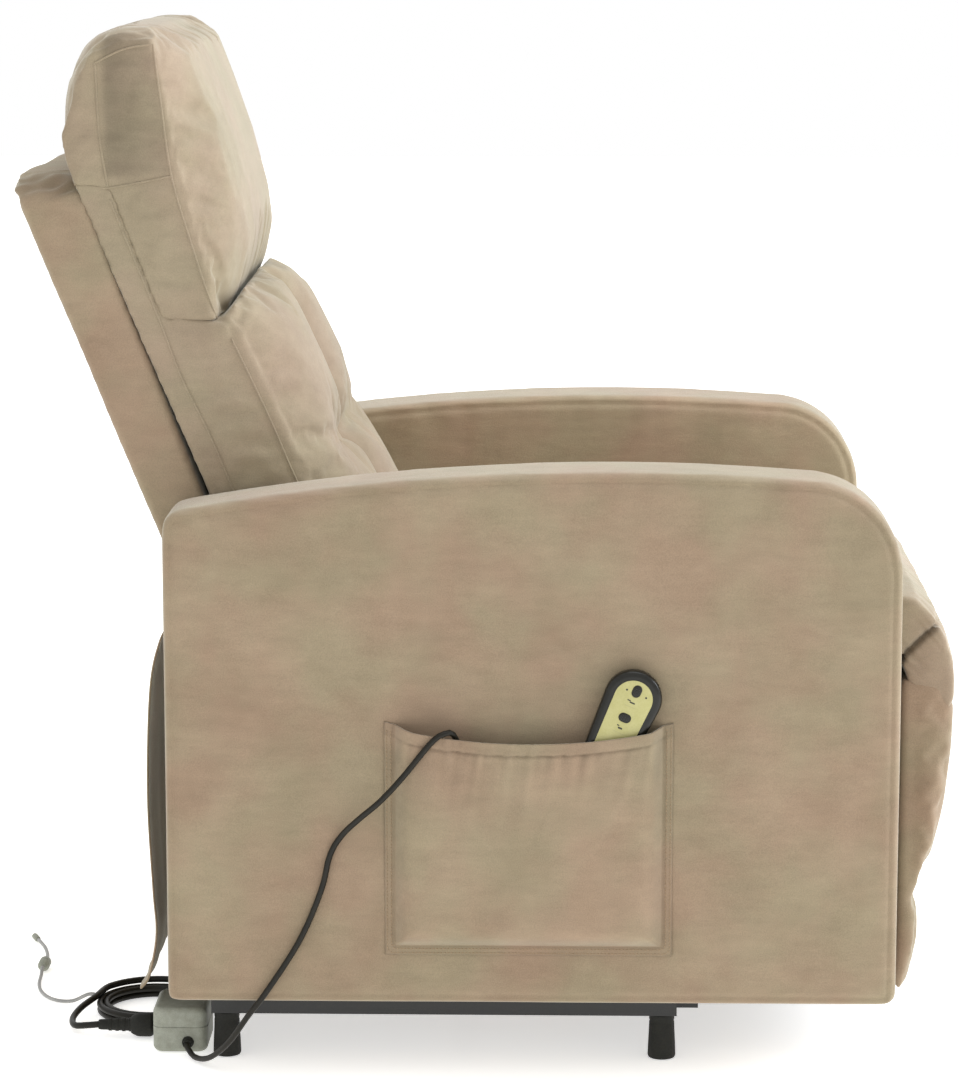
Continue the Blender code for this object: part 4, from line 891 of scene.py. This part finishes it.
def makeApron():
    # seat nose above the seam, the top of the legrest's upper roll below it
    piece = subdivided(cushionBlank("legrestApron", apron, halfCushion - 0.0005, velvetHead))

    def gathers(points, normals):
        # a welt across the front, and on each side a sewn-in corner whose pleats run out of its seam
        across = np.abs(points[:, 0] - middleX)
        sideOnly = np.clip((across - halfCushion + 0.035) / 0.02, 0.0, 1.0)
        away, along = alongPath(points[:, 1:], apron["seam"])
        pull = np.stack([along, np.zeros_like(along), points[:, 0] * 0.4], axis=1)
        fromWelt = points[:, 2] - apron["weltZ"]
        welt = apron["weltDepth"] * bell(fromWelt, apron["weltWidth"]) * (normals[:, 1] < 0.0)
        crease = rough(points * (1.0, 0.2, 0.2), apron["creaseSize"], 2.0)
        crease *= bell(fromWelt, apron["creaseReach"])
        pleats = np.abs(rough(pull, apron["pleatSize"], 2.0)) * np.exp(-away / apron["pleatReach"])
        seam = apron["seamDepth"] * bell(away, apron["seamWidth"])
        slack = apron["slackHeight"] * rough(points, 0.06, 3.0)
        return (-(seam + apron["pleatDepth"] * pleats) * sideOnly - welt * (1.0 - sideOnly)
                + apron["creaseHeight"] * crease + slack)
    swell(piece, gathers)

    def tone(points, normals):
        # painted light over the apron, less of it on the sides, and painted shade deep in the sewn-in corner
        # seams
        inSeam = bell(alongPath(points[:, 1:], apron["seam"])[0], 0.004)
        return 0.25 - (0.15 + 1.1 * inSeam) * (np.abs(points[:, 0] - middleX) > halfCushion - 0.02)
    paintLightAndShade(piece, tone)
    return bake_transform(piece)


makeApron()
print("apron done")


# Rear flap: one panel of velvet that hangs behind the seat box

flap = {"route": [(0.3355, 0.450), (0.3465, 0.430), (0.3565, 0.380), (0.3605, 0.267), (0.3565, 0.170),
                  (0.3535, 0.120), (0.3615, 0.075), (0.3710, 0.0615)], "thick": 0.0024,
        "freeFrom": 0.44, "freeLength": 0.38, "waveHeight": 0.0045, "waveWidth": 0.060}


def makeFlap():
    low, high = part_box("rear_flap")
    bm = bmesh.new()
    bmesh.ops.create_grid(bm, x_segments=90, y_segments=80, size=0.5)
    piece = newPiece("rearFlapCloth", bm, velvet)
    points, normals = coordinates(piece)
    route = smoothRoute([(0.0, y, z) for y, z in flap["route"]], 0.001)
    line = np.array([tuple(p) for p in route])
    share = (points[:, 1] + 0.5) * (len(route) - 1)
    base = np.clip(share.astype(int), 0, len(route) - 2)
    hung = line[base] + (share - base)[:, None] * (line[base + 1] - line[base])
    hung[:, 0] = (low.x + high.x) / 2 + points[:, 0] * (high.x - low.x)
    down = np.clip((flap["freeFrom"] - hung[:, 2]) / flap["freeLength"], 0.0, 1.0)
    waves = rough(hung * (1.0, 0.0, 0.16), flap["waveWidth"], 4.0)
    hung[:, 1] += flap["waveHeight"] * waves * down
    setCoordinates(piece, hung)
    addModifier(piece, "SOLIDIFY", thickness=flap["thick"], offset=0.0)
    applied(piece)
    subdivided(piece)
    return finished(piece, "seat", "rear_flap")


makeFlap()
print("flap done")


# Pocket: one patch sewn to the arm on three sides, its hem drawn in by elastic. The handset's own sizes
# come first, because the cloth bulges round it.

handset = {
    "middle": (-0.1193, 0.3590), "tilt": math.radians(24.0), "headRadius": 0.029, "headZ": 0.046,
    "tailRadius": 0.0225, "tailZ": -0.0525, "thick": 0.018, "faceMargin": 0.0095, "tailMargin": 0.0065,
    "seam": 0.0006, "topRounding": 0.0062, "backRounding": 0.0045, "overlayProud": 0.0003,
    "buttons": (("Up", 0.0552, 0.0085, 0.012), ("Down", 0.0260, 0.012, 0.0085)),     # height, width, length
    "buttonProud": 0.0014, "ribStep": 0.0024, "ribWide": 0.0008, "punchGap": 0.0010,
    "marks": ((0.0035, 0.0442, 0.0036, 0.0012), (-0.0005, 0.0428, 0.0058, 0.0015),
              (0.0030, 0.0168, 0.0026, 0.0011), (0.0000, 0.0146, 0.0048, 0.0018),
              (0.0098, 0.0530, 0.0021, 0.0020), (-0.0110, 0.0530, 0.0021, 0.0020)),
    "rules": ((0.0, 0.0385, 0.0120, 0.0006), (0.0, 0.0100, 0.0120, 0.0006))}
pocket = {"front": -0.179, "rear": 0.110, "bottom": 0.133, "top": 0.373, "sag": 0.017, "border": 0.009,
          "depth": 0.0243, "rise": 0.011, "thick": 0.0018, "hem": 0.0125, "deepest": 0.0290,
          "standOff": 0.0012, "pleatHeight": 0.0046, "pleatSize": 0.0085, "widePleat": 0.021,
          "ruffleHeight": 0.0016, "ruffleSize": 0.0045, "sagHeight": 0.0022, "sagSize": 0.055,
          "grooveDepth": 0.0016, "overHandset": 0.0252, "handsetHalf": 0.030}
pocketMiddle = (pocket["front"] + pocket["rear"]) / 2
pocketHalf = (pocket["rear"] - pocket["front"]) / 2


def hemZ(y):
    # the elastic lets the hem sag between its sewn ends
    return pocket["top"] - pocket["sag"] * (1.0 - ((y - pocketMiddle) / pocketHalf) ** 2)


def makePocket():
    bm = bmesh.new()
    bmesh.ops.create_grid(bm, x_segments=170, y_segments=140, size=0.5)
    bmesh.ops.rotate(bm, cent=(0.0, 0.0, 0.0), matrix=Matrix.Rotation(math.pi / 2, 3, "Y"), verts=bm.verts[:])
    piece = newPiece("pocketPatch", bm, velvet)
    points, normals = coordinates(piece)
    y = pocketMiddle + points[:, 1] * 2.0 * pocketHalf
    top = hemZ(y)
    z = pocket["bottom"] + (points[:, 2] + 0.5) * (top - pocket["bottom"])
    fromSide = np.minimum(y - pocket["front"], pocket["rear"] - y) - pocket["border"]
    fromLow = z - pocket["bottom"] - pocket["border"]
    inner = np.minimum(fromSide, fromLow)
    dome = 1.0 - np.exp(-(np.clip(inner, 0.0, 1.0) / pocket["rise"]) ** 1.6)
    below = top - z
    flat = np.zeros_like(y)
    strip = np.stack([y + 0.15 * z, flat, z * 0.10], axis=1)
    pleats = rough(strip, pocket["pleatSize"], 1.0) + 0.7 * rough(strip, pocket["widePleat"], 8.0)
    ruffles = rough(np.stack([y, flat, z * 0.2], axis=1), pocket["ruffleSize"], 2.0)
    sagging = rough(np.stack([y, flat, z * 0.6], axis=1), pocket["sagSize"], 6.0)
    gathered = np.clip((pocketHalf - 0.030 - np.abs(y - pocketMiddle)) / 0.03, 0.0, 1.0) * dome
    bulge = dome * pocket["depth"]
    # pleats start at the hem's stitching and die out a few centimetres below it
    reach = 0.024 + 0.014 * rough(np.stack([y, flat, flat], axis=1), 0.03, 4.0)
    fading = np.exp(-np.maximum(below - pocket["hem"], 0.0) / reach)
    fading *= np.clip((below - pocket["hem"] * 0.5) / 0.006, 0.2, 1.0)
    bulge += pocket["pleatHeight"] * pleats * fading * gathered
    bulge += pocket["ruffleHeight"] * ruffles * (below < pocket["hem"]) * gathered
    bulge += pocket["sagHeight"] * sagging * dome * np.clip(below / 0.03, 0.0, 1.0)
    # the handset holds the cloth out on both sides of its own axis
    aside = np.abs(y - handset["middle"][0] + (z - handset["middle"][1]) * math.tan(handset["tilt"]))
    held = pocket["overHandset"] - 0.20 * np.maximum(aside - pocket["handsetHalf"], 0.0)
    bulge = np.maximum(bulge, held * np.minimum(dome * 1.3, 1.0) * (z > 0.25))
    bulge -= pocket["grooveDepth"] * (bell(below - pocket["hem"], 0.0016) * dome + bell(inner, 0.0018))
    x = armLow.x - pocket["standOff"] - np.clip(bulge, 0.0, pocket["deepest"])
    setCoordinates(piece, np.stack([x, y, z], axis=1))
    bm = bmesh.new()
    bm.from_mesh(piece.data)
    if bm.faces[:][0].normal.x > 0.0:
        bmesh.ops.reverse_faces(bm, faces=bm.faces[:])
    bm.to_mesh(piece.data)
    bm.free()
    addModifier(piece, "SOLIDIFY", thickness=pocket["thick"], offset=0.0)
    applied(piece)
    piece.data.shade_smooth()

    def tone(points, normals):
        # painted shade: dark in the sewn grooves, near the hem and between the pleats, with painted light on
        # the pleats' crests and a little random tone
        edge = np.minimum(points[:, 1] - pocket["front"], pocket["rear"] - points[:, 1])
        edge = np.minimum(edge, points[:, 2] - pocket["bottom"])
        below = hemZ(points[:, 1]) - points[:, 2]
        strip = points * (0.0, 1.0, 0.10) + (0.0, 0.15, 0.0) * points[:, 2:]
        between = rough(strip, pocket["pleatSize"], 1.0) * (below > pocket["hem"])
        between *= np.exp(-np.maximum(below - pocket["hem"], 0.0) / 0.028)
        return (0.95 * between + 0.12 * rough(points, 0.05, 9.0) - 0.12 * np.exp(-below / 0.05)
                - 0.55 * bell(edge - 0.0002, 0.0012) - 0.45 * bell(edge - pocket["border"], 0.0013)
                - 0.40 * bell(below - pocket["hem"], 0.0014))
    paintLightAndShade(piece, tone)
    return finished(piece, "seat", "pocket")


def makePocketStitches(patch):
    # two rows of stitches along the sides and the bottom, with rounded corners
    for number, inset in enumerate((0.0024, 0.0066)):
        front, rear, low = pocket["front"] + inset, pocket["rear"] - inset, pocket["bottom"] + inset
        corner = 0.004
        line = [(front, hemZ(front) - 0.003), (front, low + corner), (front + corner, low),
                (rear - corner, low), (rear, low + corner), (rear, hemZ(rear) - 0.003)]
        path = []
        for a, b in zip(line, line[1:]):
            steps = max(1, int(math.dist(a, b) / 0.004))
            shares = [i / steps for i in range(steps)]
            path += [(a[0] + (b[0] - a[0]) * t, a[1] + (b[1] - a[1]) * t) for t in shares]
        route = laidOn(patch, [(armLow.x - 0.02, y, z) for y, z in path], (1.0, 0.0, 0.0), 0.0002)
        stitchRow("pocketStitches" + str(number + 1), route, "seat")


makePocketStitches(makePocket())
print("pocket done")


# Handset

handsetX = (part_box("handset_shell")[0].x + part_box("handset_shell")[1].x) / 2
handsetFace = handsetX - handset["thick"] / 2
handsetPlace = (Matrix.Translation((0.0, *handset["middle"])) @ Matrix.Rotation(handset["tilt"], 4, "X"))


def handsetOutline(headMargin, tailMargin):
    return (arc((0.0, handset["headZ"]), handset["headRadius"] - headMargin, 0.0, 180.0, 28)
            + arc((0.0, handset["tailZ"]), handset["tailRadius"] - tailMargin, 180.0, 360.0, 24))


def oval(y, z, sizeY, sizeZ):
    radius = min(sizeY, sizeZ) / 2
    run = max(sizeY, sizeZ) / 2 - radius
    if sizeZ > sizeY:
        return arc((y, z + run), radius, 0.0, 180.0, 10) + arc((y, z - run), radius, 180.0, 360.0, 10)
    return arc((y + run, z), radius, -90.0, 90.0, 10) + arc((y - run, z), radius, 90.0, 270.0, 10)


def slab(bm, outline, nearX, farX, rounding, steps=4):
    # a plate across X whose edge on the near side is rounded
    verts = [bm.verts.new((farX, y, z)) for y, z in outline]
    base = bmesh.ops.contextual_create(bm, geom=verts)["faces"]
    grown = bmesh.ops.extrude_face_region(bm, geom=base)["geom"]
    top = [g for g in grown if isinstance(g, bmesh.types.BMFace)]
    bmesh.ops.translate(bm, vec=(nearX - farX, 0.0, 0.0),
                        verts=[g for g in grown if isinstance(g, bmesh.types.BMVert)])
    if rounding:
        rim = [e for f in top for e in f.edges]
        bmesh.ops.bevel(bm, geom=rim, offset=rounding, segments=steps, profile=0.5, affect="EDGES",
                        material=-1, clamp_overlap=True)


def placed(bm, matrix):
    # moves a shape to its place and points its faces outwards
    bmesh.ops.transform(bm, matrix=matrix, verts=bm.verts[:])
    bmesh.ops.recalc_face_normals(bm, faces=bm.faces[:])
    return bm


def handsetPiece(name, bm, look, node=None, body="handset"):
    piece = newPiece(name, placed(bm, handsetPlace), look)
    piece.data.set_sharp_from_angle(angle=math.radians(40.0))
    return finished(piece, body, node)


def handsetSlab(name, outline, nearX, farX, rounding, steps, look, node=None):
    bm = bmesh.new()
    slab(bm, outline, nearX, farX, rounding, steps)
    return handsetPiece(name, bm, look, node)


def makeButton(face, label, z, sizeY, sizeZ):
    # an oval key with three ribs across it, in a hole punched through the overlay
    bm = bmesh.new()
    top = handsetFace - handset["buttonProud"]
    slab(bm, oval(0.0, z, sizeY, sizeZ), top, handsetFace + 0.0010, 0.0008)
    upright = sizeZ > sizeY
    for step in (-handset["ribStep"], 0.0, handset["ribStep"]):
        at = (0.0, z + step) if upright else (step, z)
        rib = (sizeY * 0.6, handset["ribWide"]) if upright else (handset["ribWide"], sizeZ * 0.6)
        slab(bm, oval(*at, *rib), top - 0.0003, top + 0.0002, 0.0002, 2)
    handsetPiece("handsetButton" + label, bm, glossAbs, "button_" + label.lower(),
                 label.lower() + "_button")
    bm = bmesh.new()
    gap = handset["punchGap"]
    slab(bm, oval(0.0, z, sizeY + gap, sizeZ + gap), handsetFace - 0.004, handsetFace + 0.004, 0.0)
    punch = newPiece("buttonPunch", placed(bm, handsetPlace), overlay)
    addModifier(face, "BOOLEAN", operation="DIFFERENCE", solver="EXACT", object=punch)
    applied(face)
    bpy.data.objects.remove(punch)


def makePrint(name, ovals, look):
    bm = bmesh.new()
    for y, z, sizeY, sizeZ in ovals:
        slab(bm, oval(y, z, sizeY, sizeZ), handsetFace - 0.00042, handsetFace - 0.0002, 0.0)
    handsetPiece(name, bm, look)


def makeHandset():
    seamX = handsetX + handset["seam"]
    handsetSlab("handsetTopShell", handsetOutline(0.0, 0.0), handsetFace, seamX, handset["topRounding"], 8,
                glossAbs, "handset_shell")
    handsetSlab("handsetBackShell", handsetOutline(0.0004, 0.0004), handsetX + handset["thick"] / 2,
                seamX + 0.0004, handset["backRounding"], 6, glossAbs)
    face = handsetSlab("handsetOverlay", handsetOutline(handset["faceMargin"], handset["tailMargin"]),
                       handsetFace - handset["overlayProud"], handsetFace + 0.0012, 0.0003, 2, overlay,
                       "handset_face")
    for button in handset["buttons"]:
        makeButton(face, *button)
    face.data.set_sharp_from_angle(angle=math.radians(40.0))
    makePrint("handsetMarks", handset["marks"], darkInk)
    makePrint("handsetCaptionLines", handset["rules"], paleInk)


makeHandset()
print("handset done")


# Cords

supplyLow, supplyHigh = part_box("power_supply")
coilLow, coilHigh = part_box("mains_lead_coil")
coilX, coilY = (coilLow.x + coilHigh.x) / 2, (coilLow.y + coilHigh.y) / 2
plugLow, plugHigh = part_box("mains_plug")
couplingLow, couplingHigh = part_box("lead_coupling")
handsetLead = {"radius": 0.003, "sleeveLong": 0.020, "sleeveThick": 0.0052,
               "supplyY": 0.320, "supplyZ": 0.0120}
mains = {"radius": 0.0035, "outer": 0.0612, "inner": 0.0470, "layer": 0.0071, "lastTurn": 170.0,
         "exitY": 0.312, "exitZ": 0.0160, "sleeveLong": 0.026, "sleeveThick": 0.0062}
thinLead = {"radius": 0.002, "couplingLong": 0.026}


def freeCord(name, route, radius, look, slot, replaced, body, **facts):
    made = tube(name, route, radius, look)
    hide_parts(*replaced)
    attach(made, body)
    print(name, round(routeLength(route), 3), "m")


def handsetRoute():
    # from the handset's lower end round inside the pocket, over the hem, and down to the supply's side
    tail = handsetPlace @ Vector((0.0, 0.0, handset["tailZ"] - handset["tailRadius"] - 0.0003))
    x, y, z = handsetX - middleX, tail.y, tail.z
    points = [(x, y, z), (x, y + 0.012, z - 0.024), (x, -0.050, 0.243), (x, -0.018, 0.240),
              (x, 0.010, 0.265), (x, 0.026, 0.310), (x - 0.001, 0.034, 0.347), (-0.3710, 0.041, 0.3655),
              (-0.3775, 0.051, 0.3660), (-0.3797, 0.063, 0.357), (-0.3797, 0.092, 0.321),
              (-0.3785, 0.114, 0.297), (-0.3690, 0.134, 0.278), (-0.3560, 0.153, 0.257),
              (-0.3541, 0.165, 0.236), (-0.3541, 0.174, 0.200), (-0.3541, 0.196, 0.148),
              (-0.3541, 0.230, 0.094), (-0.3510, 0.249, 0.068), (-0.3370, 0.270, 0.036),
              (-0.3140, 0.292, 0.012), (-0.2900, 0.310, 0.0045), (-0.2740, 0.320, 0.0115),
              (-0.2626, 0.320, 0.0120)]
    return smoothRoute([(px + middleX, py, pz) for px, py, pz in points], 0.006)


def mainsRoute():
    # out of the supply, two turns wound inwards, two outwards on top of them, then off to the plug
    z, outer, inner, layer = mains["radius"] + 0.0002, mains["outer"], mains["inner"], mains["layer"]
    points = [(supplyHigh.x + 0.0002, mains["exitY"], mains["exitZ"]), (supplyHigh.x + 0.018, 0.3118, 0.0140),
              (coilX - 0.028, coilY - outer - 0.0004, 0.0065)]
    layers = ((outer, inner, 720.0), (inner, outer, 720.0), (outer, outer - 0.0012, mains["lastTurn"]))
    degrees = 270.0
    for number, (first, last, turned) in enumerate(layers):
        count = int(turned / 15.0)
        for i in range(count):
            angle = math.radians(degrees + turned * i / count)
            radius = first + (last - first) * i / count
            climb = min(1.0, i / 3) if number else 1.0
            height = z + layer * (number - 1 + climb) if number else z
            points.append((coilX + radius * math.cos(angle), coilY + radius * math.sin(angle), height))
        degrees += turned
    plugX = (plugLow.x + plugHigh.x) / 2
    points += [(coilX - 0.004, coilY + 0.0620, z + 2 * layer - 0.0010),
               (coilX - 0.030, coilY + 0.0740, z + 1.3 * layer), (coilX - 0.056, coilY + 0.0800, 0.0090),
               (coilX - 0.080, coilY + 0.0755, 0.0080),
               (plugX + 0.003, plugHigh.y + 0.0130, 0.0110), (plugX, plugHigh.y + 0.0002, 0.0130)]
    return smoothRoute(points, 0.0065)


def thinRoutes():
    # from the coil's tie to the coupling, and from the coupling to the connector
    start = [(coilX + r * math.cos(math.radians(75.0)), coilY + r * math.sin(math.radians(75.0)), z)
             for r, z in ((0.0688, 0.0130), (0.0768, 0.0120))]
    lead = start + [(px + middleX, py, pz) for px, py, pz in (
        (-0.0870, 0.463, 0.0032), (-0.0830, 0.480, 0.0022), (-0.0680, 0.494, 0.0022),
        (-0.0450, 0.504, 0.0022), (-0.0180, 0.5095, 0.0022), (0.0130, 0.5115, 0.0028),
        (0.0240, 0.512, 0.0068), (0.0304, 0.512, 0.0068))]
    tail = [(px + middleX, py, pz) for px, py, pz in (
        (0.0576, 0.512, 0.0068), (0.0640, 0.512, 0.0068), (0.0750, 0.5135, 0.0022), (0.1000, 0.5165, 0.0022),
        (0.1240, 0.5224, 0.0030), (0.1428, 0.5302, 0.0042), (0.1520, 0.5340, 0.0042))]
    return smoothRoute(lead, 0.004), smoothRoute(tail, 0.004)


def turnedPiece(name, profile, at, heading, look, node, body, turns=40):
    # spins a (radius, length) profile round its axis, points it along heading and starts it at the place
    bm = bmesh.new()
    verts = [bm.verts.new((r, 0.0, z)) for r, z in profile]
    edges = [bm.edges.new(pair) for pair in zip(verts, verts[1:])]
    bmesh.ops.spin(bm, geom=verts + edges, cent=(0.0, 0.0, 0.0), axis=(0.0, 0.0, 1.0), dvec=(0.0, 0.0, 0.0),
                   angle=math.tau, steps=turns, use_merge=True)
    bmesh.ops.remove_doubles(bm, verts=bm.verts[:], dist=1e-6)
    turn = Vector(heading).to_track_quat("Z", "Y").to_matrix().to_4x4()
    placed(bm, Matrix.Translation(at) @ turn)
    made = newPiece(name, bm, look)
    made.data.set_sharp_from_angle(angle=math.radians(35.0))
    return finished(made, body, node)


def ribbedSleeve(name, at, heading, lead, look, body):
    # tapered strain relief with rings cut into it
    radius, length, thick = lead["radius"], lead["sleeveLong"], lead["sleeveThick"]
    profile = [(0.0, 0.0), (thick, 0.0)]
    rings = 5
    for i in range(rings):
        r = thick + (radius * 1.25 - thick) * (i + 1) / rings
        z = length * (0.12 + 0.84 * i / rings)
        step = length * 0.84 / rings
        profile += [(r, z), (r, z + step * 0.55), (r - 0.0009, z + step * 0.6), (r - 0.0009, z + step * 0.95)]
    profile += [(radius * 1.12, length), (0.0, length)]
    return turnedPiece(name, profile, at, heading, look, None, body, 32)


def makeHandsetLead():
    route = handsetRoute()
    turnedPiece("supplyGrommetLeft", [(0.0, -0.001), (0.0062, -0.001), (0.0062, 0.0015), (0.0048, 0.0030),
                                      (0.0045, 0.0090), (0.0, 0.0090)],
                (supplyLow.x, handsetLead["supplyY"], handsetLead["supplyZ"]), (-1.0, 0.0, 0.0), moulded,
                None, "base")
    ribbedSleeve("handsetCordSleeve", route[0], handsetPlace.to_3x3() @ Vector((0.0, 0.0, -1.0)), handsetLead,
                 jacket, "handset")
    freeCord("handsetLead", route, handsetLead["radius"], jacket, "black_cable", ["handset_cord"], "seat",
             far_end="object", stiffness="limp", lay="loose")


def plugProfile():
    # a round body, a shoulder, and a neck of rings and grooves that narrows towards the lead
    profile = [(0.0, 0.0), (0.0096, 0.0), (0.0108, 0.0004), (0.0120, 0.0016), (0.0125, 0.0034),
               (0.0125, 0.0150), (0.0119, 0.0176), (0.0102, 0.0214), (0.0090, 0.0232), (0.0074, 0.0240),
               (0.0074, 0.0258)]
    for number, radius in enumerate((0.0066, 0.0072, 0.0064, 0.0069, 0.0061, 0.0066)):
        start = 0.0262 + 0.0036 * number
        profile += [(radius, start), (radius, start + 0.0032)]
    return profile + [(0.0058, 0.0478), (0.0055, 0.0560), (0.0050, 0.0580), (0.0, 0.0580)]


def makeMainsLead():
    plugX, plugZ = (plugLow.x + plugHigh.x) / 2, (plugLow.z + plugHigh.z) / 2
    plug = turnedPiece("mainsPlugBody", plugProfile(), (plugX, plugLow.y, plugZ), (0.0, 1.0, 0.0), moulded,
                       "mains_plug", "base")
    ribbedSleeve("mainsLeadSleeve", (supplyHigh.x - 0.0006, mains["exitY"], mains["exitZ"]),
                 (1.0, -0.01, -0.10), mains, moulded, "base")
    freeCord("mainsLeadWound", mainsRoute(), mains["radius"], jacket, "black_cable",
             ["mains_lead", "mains_lead_coil", "mains_lead_end"], "base",
             far_end="plug", stiffness="medium", lay="coiled", with_pieces=[plug])


def makeThinLeads():
    lead, tail = thinRoutes()
    middle = (couplingLow + couplingHigh) / 2
    half = [(0.0, 0.0), (0.0036, 0.0), (0.0045, 0.0006), (0.0060, 0.0038), (0.0065, 0.0050),
            (0.0065, 0.0120), (0.0059, 0.0124)]
    mirrored = [(r, thinLead["couplingLong"] - z) for r, z in reversed(half)]
    coupling = turnedPiece("thinLeadCoupling", half + mirrored,
                           (couplingLow.x, middle.y, middle.z), (1.0, 0.0, 0.0), greyAbs,
                           "lead_coupling", "base")
    for name, route, node, ending in (("thinLead", lead, "lead_thin", coupling),
                                      ("thinLeadTail", tail, "lead_thin_tail", nodes["lead_connector"])):
        freeCord(name, route, thinLead["radius"], greyJacket, "grey_cable", [node], "base",
                 far_end="connector", stiffness="limp", lay="loose", with_pieces=[ending])


def makeTieBand():
    # hook-and-loop band round the coil's near side
    bm = bmesh.new()
    middle, half = (mains["outer"] + mains["inner"]) / 2, (mains["outer"] - mains["inner"]) / 2 + 0.0048
    slab(bm, oval(0.0, 0.0128, 2 * half, 0.0250), -0.007, 0.007, 0.0006, 2)
    place = (Matrix.Translation((coilX, coilY, 0.0)) @ Matrix.Rotation(math.radians(-150.0), 4, "Z")
             @ Matrix.Translation((0.0, middle, 0.0)))
    finished(newPiece("coilTieBand", placed(bm, place), strap), "base")


makeHandsetLead()
makeMainsLead()
makeThinLeads()
makeTieBand()
print("cords done")


# Feet and power supply

supply = {"corner": 0.0110, "rim": 0.0065, "beltZ": 0.0035, "beltHalf": 0.0006, "beltDepth": 0.0007}


def makeFeet():
    for label in ("front_left", "front_right", "rear_left", "rear_right"):
        low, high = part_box("foot_" + label)
        radius, height = (high.x - low.x) / 2, high.z - low.z
        profile = [(0.0, 0.0), (radius - 0.0030, 0.0), (radius - 0.0008, 0.0008), (radius, 0.0028),
                   (radius - 0.0004, height * 0.30), (radius - 0.0012, height * 0.62),
                   (radius - 0.0014, height - 0.0100), (radius - 0.0020, height - 0.0080),
                   (radius - 0.0014, height - 0.0060), (radius - 0.0014, height - 0.0012),
                   (radius - 0.0024, height), (0.0, height)]
        name = "rubberFoot" + "".join(word.capitalize() for word in label.split("_"))
        at = ((low.x + high.x) / 2, (low.y + high.y) / 2, low.z)
        turnedPiece(name, profile, at, (0.0, 0.0, 1.0), moulded, "foot_" + label, "base", 48)


def makeSupply():
    bm = bmesh.new()
    bmesh.ops.create_cube(bm, size=1.0)
    size = supplyHigh - supplyLow
    bmesh.ops.scale(bm, vec=size, verts=bm.verts[:])
    upright = [e for e in bm.edges if abs(e.verts[0].co.z - e.verts[1].co.z) > 0.01]
    bmesh.ops.bevel(bm, geom=upright, offset=supply["corner"], segments=8, profile=0.5, affect="EDGES",
                    material=-1, clamp_overlap=True)
    rims = [e for e in bm.edges if abs(e.verts[0].co.z - e.verts[1].co.z) < 0.001
            and abs(abs(e.verts[0].co.z) - size.z / 2) < 0.001 and len(e.link_faces) == 2
            and abs(e.link_faces[0].normal.z - e.link_faces[1].normal.z) > 0.5]
    bmesh.ops.bevel(bm, geom=rims, offset=supply["rim"], segments=8, profile=0.5, affect="EDGES", material=-1,
                    clamp_overlap=True)
    # parting line between the two halves of the case
    cut = bmesh.ops.bisect_plane(bm, geom=bm.verts[:] + bm.edges[:] + bm.faces[:], dist=1e-6,
                                 plane_co=(0.0, 0.0, supply["beltZ"]), plane_no=(0.0, 0.0, 1.0))["geom_cut"]
    belt = bmesh.ops.bevel(bm, geom=[g for g in cut if isinstance(g, bmesh.types.BMEdge)],
                           offset=supply["beltHalf"], segments=1, profile=0.5, affect="EDGES", material=-1,
                           clamp_overlap=True)
    bmesh.ops.inset_region(bm, faces=belt["faces"], thickness=0.0002, depth=-supply["beltDepth"])
    made = newPiece("powerSupplyCase", placed(bm, Matrix.Translation((supplyLow + supplyHigh) / 2)), greyAbs)
    made.data.set_sharp_from_angle(angle=math.radians(35.0))
    finished(made, "base", "power_supply")


makeFeet()
makeSupply()
print("feet and supply done")
